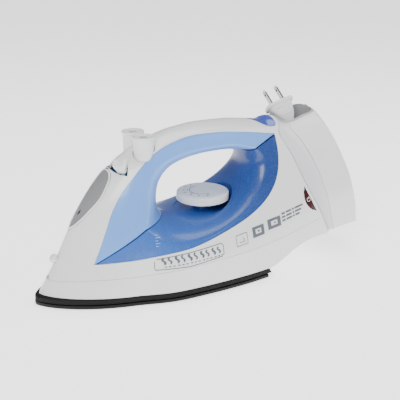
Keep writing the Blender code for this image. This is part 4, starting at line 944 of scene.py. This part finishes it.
def make_lens():
    lens = prism("lens_surface", lens_outline(0), -60, -36)
    combine(lens, [body_solid("body")], "INTERSECT")
    stand_for(lens, "power", "lens_red", LENS, "power_button")
    rim = [on_side(s, z, -0.25) for s, z in lens_outline(GAP * 0.7)]
    stand_for(tube("lens_rim", rim, 0.5, 8, closed=True), "housing", "band_black", BAND)
    s0, z0 = 259.9, 65.4
    arc = [(s0 + 1.9 * math.sin(a), z0 + 1.9 * math.cos(a)) for a in np.linspace(0.6, math.tau - 0.6, 28)]
    bar = [(s0, z0 + 0.4), (s0, z0 + 2.6)]
    printed("power_symbol", [strip(arc, 0.5), strip(bar, 0.5)], "power", CONTROL, "control_white",
            lambda s, z: on_side(s, z, 0.05))


# ---------------------------------------------------------------- plug
OUT = PLUG_OUT
WIDE = Vector((0.945, -0.05, 0.33))
WIDE = (WIDE - OUT * WIDE.dot(OUT)).normalized()
THIN = OUT.cross(WIDE)


def plug_ring(level, half_wide, half_thin, grow=0.0, power=0.5, count=72):
    half_wide, half_thin = half_wide + grow, half_thin + grow
    points = []
    for i in range(count):
        a = math.tau * (i + 0.5) / count
        c, s = math.cos(a), math.sin(a)
        p = Vector(PLUG_CENTRE) + OUT * level + WIDE * (math.copysign(abs(c)**power, c) * half_wide)
        points.append(tuple(p + THIN * (math.copysign(abs(s)**power, s) * half_thin)))
    return points


def plug_room():
    sections = [(3, 14.6, 8.4), (0, 13.6, 7.6), (-0.6, 14.6, 8.4), (-3.4, 14.6, 8.4), (-4.0, 12.0, 7.2)]
    return grid("plug_room", [plug_ring(*section, grow=0.6) for section in sections], closed=True)


def make_plug():
    sections = [(0, 12.9, 6.9), (-0.1, 13.6, 7.5), (-0.5, 14.3, 8.1), (-1.2, 14.6, 8.4), (-2.8, 14.6, 8.4),
                (-3.4, 14.3, 8.1), (-3.8, 13.2, 7.6), (-4.1, 12.2, 7.2), (-5.2, 11.7, 7.0), (-10, 10.6, 6.6),
                (-14, 9.3, 6.1), (-17, 8.0, 5.6), (-19, 6.8, 5.1), (-21, 5.6, 4.6), (-22.6, 4.6, 4.1),
                (-PLUG_LENGTH + 0.3, 3.9, 3.7), (-PLUG_LENGTH, 3.4, 3.3)]
    body = grid("plug_surface", [plug_ring(*section) for section in sections], closed=True)
    stand_for(body, "plug", "control_white", CONTROL, "plug_body")
    for side in (-1, 1):
        ring = []
        for level, across in ((-7.4, -0.62), (-7.4, 0.62), (-8.2, 0.72), (-14.2, 0.66), (-15.4, 0.5), (-15.4, -0.5),
                              (-14.2, -0.66), (-8.2, -0.72)):
            w = float(np.interp(-level, [5.2, 10, 14, 17], [11.7, 10.6, 9.3, 8.0]))
            t = float(np.interp(-level, [5.2, 10, 14, 17], [7.0, 6.6, 6.1, 5.6]))
            lift = t * (1 - abs(across) ** 4) ** 0.25
            p = Vector(PLUG_CENTRE) + OUT * level + WIDE * (across * w) + THIN * (side * (lift + 0.05))
            ring.append(tuple(p))
        stand_for(tube(f"plug_panel_{side}", ring, 0.34, 8, closed=True), "plug", "control_white", CONTROL)


def make_cradle():
    cradle = prism("cradle_surface", pocket_outline(1.4), POCKET_FLOOR - 1.6, 160, "Z")
    combine(cradle, [body_solid("body")], "INTERSECT")
    combine(cradle, [prism("pocket", pocket_outline(0), POCKET_FLOOR, 200, "Z"), plug_room(),
                     rod("cord_hole", (CORD_S, CORD_Y, 100), (CORD_S, CORD_Y, 130), CORD_R + 0.8)])
    # the cradle takes the darker painted shade grey instead of the collar's grey
    stand_for(cradle, "housing", "collar_grey", POCKET, "plug_cradle")


def make_marks():
    corners = [(94.5, 30.6), (125, 31.0), (156.5, 34.4), (158, 35.8), (158.3, 43.6), (156.6, 45.6), (125, 42.6),
               (96.0, 39.8), (94.3, 38.4), (93.6, 32.0)]
    gap_lines = [strip(corners[8:] + corners[:3], 0.7), strip(corners[3:8], 0.7)]
    for k in range(5):
        s = 102 + k * 11.5
        z = 31.9 + (s - 94) * 0.055
        wave = [(s + 1.3 * math.sin(t * math.tau), z + 2.6 + 5.4 * t) for t in np.linspace(0, 1, 14)]
        gap_lines.append(strip(wave, 1.9))
        wave = [(q + 5.2, r + 0.3) for q, r in wave]
        gap_lines.append(strip(wave, 1.5))
        for j in range(3):
            left, right = s + 3.6 * j, s + 3.6 * j + 2.2
            gap_lines.append(strip([(left, z + 0.3 + 0.19 * j), (right, z + 0.42 + 0.19 * j)], 0.9))
    printed("side_emblem", gap_lines)
    icons = []
    boxes = [((172.6, 39.2), (184.6, 49.8)), ((190.8, 43.2), (204.2, 53.8)), ((208.8, 46.8), (224.2, 57.4))]
    for k, (low, high) in enumerate(boxes):
        ring = [slant(low, high, u, v) for u, v in ((0, 0), (1, 0), (1, 1), (0, 1))]
        if k:
            icons += [block(low, high, 0, 1, 0, 0.3), block(low, high, 0, 1, 0.74, 1), block(low, high, 0, 0.26, 0.3, 0.74),
                      block(low, high, 0.74, 1, 0.3, 0.74), block(low, high, 0.36 + 0.06 * k, 0.62, 0.44, 0.6)]
        else:
            icons.append(strip(ring, 0.55, closed=True))
            hook = [slant(low, high, u, v) for u, v in ((0.25, 0.3), (0.75, 0.3), (0.6, 0.7))]
            icons.append(strip(hook, 0.6))
    printed("side_icons", icons)
    bars = []
    for line in range(3):
        z0 = 58.0 - line * 3.1
        for k, (a, b) in enumerate(((0, 0.16), (0.2, 0.46), (0.5, 0.58), (0.62, 1.0 - 0.09 * line))):
            s0, s1 = 226 + 26 * a, 226 + 26 * b
            bars.append(strip([(s0, z0 + 0.17 * (s0 - 226)), (s1, z0 + 0.17 * (s1 - 226))], 1.7))
    printed("side_lines", bars)
    ticks = [strip([(97.0, 51 + 2.4 * k), (99.5 + (k % 2) * 1.5, 51.1 + 2.4 * k)], 0.6) for k in range(5)]
    printed("tank_level", ticks, material=PALE_INK, slot="tank_blue")


make_upper_shell()
make_skirt()
make_collar()
make_reel_cover()
make_base()
make_funnel()
make_blue_parts()
make_dial()
make_buttons()
make_lever()
make_nozzle()
make_rewind()
make_lens()
make_plug()
make_cradle()
make_marks()


# ---------------------------------------------------------------- stage, light and camera
def make_stage():
    floor = grid("floor", [[(-3000, -3000, -0.2), (-3000, 3000, -0.2)], [(3300, -3000, -0.2), (3300, 3000, -0.2)]])
    paint = look("floor_white", (0.92, 0.92, 0.92), 0.95, mottle=0.002)
    paint.node_tree.nodes["Principled BSDF"].inputs["Emission Color"].default_value = (1, 1, 1, 1)
    paint.node_tree.nodes["Principled BSDF"].inputs["Emission Strength"].default_value = 1.5
    floor.data.materials.append(paint)
    world_light = bpy.data.worlds.new("studio")
    world_light.use_nodes = True
    world_light.node_tree.nodes["Background"].inputs["Color"].default_value = (1.0, 1.0, 1.0, 1)
    world_light.node_tree.nodes["Background"].inputs["Strength"].default_value = 0.34
    bpy.context.scene.world = world_light
    for name, place, size, power in (("key", (-0.75, -0.75, 1.0), 0.7, 15.0), ("top", (0.15, 0.25, 1.3), 0.9, 11.0),
                                     ("rear", (0.9, -0.4, 0.7), 0.5, 4.0)):
        light = bpy.data.lights.new(name, "AREA")
        light.size, light.energy = size, power
        lamp = bpy.data.objects.new(name, light)
        bpy.context.scene.collection.objects.link(lamp)
        lamp.location = place
        lamp.rotation_euler = (Vector((0, 0, 0.07)) - Vector(place)).to_track_quat("-Z", "Y").to_euler()


def make_camera():
    target = at(164.63, -0.47, 68.32)
    turn, lift, distance = math.radians(-29), math.radians(19.5), 0.75
    away = Vector((math.sin(turn) * math.cos(lift), -math.cos(turn) * math.cos(lift), math.sin(lift)))
    data = bpy.data.cameras.new("camera")
    data.sensor_width, data.lens, data.clip_start = 36, 72, 0.01
    camera = bpy.data.objects.new("camera", data)
    bpy.context.scene.collection.objects.link(camera)
    camera.location = target + away * distance
    camera.rotation_euler = (-away).to_track_quat("-Z", "Y").to_euler()
    bpy.context.scene.camera = camera


make_stage()
make_camera()
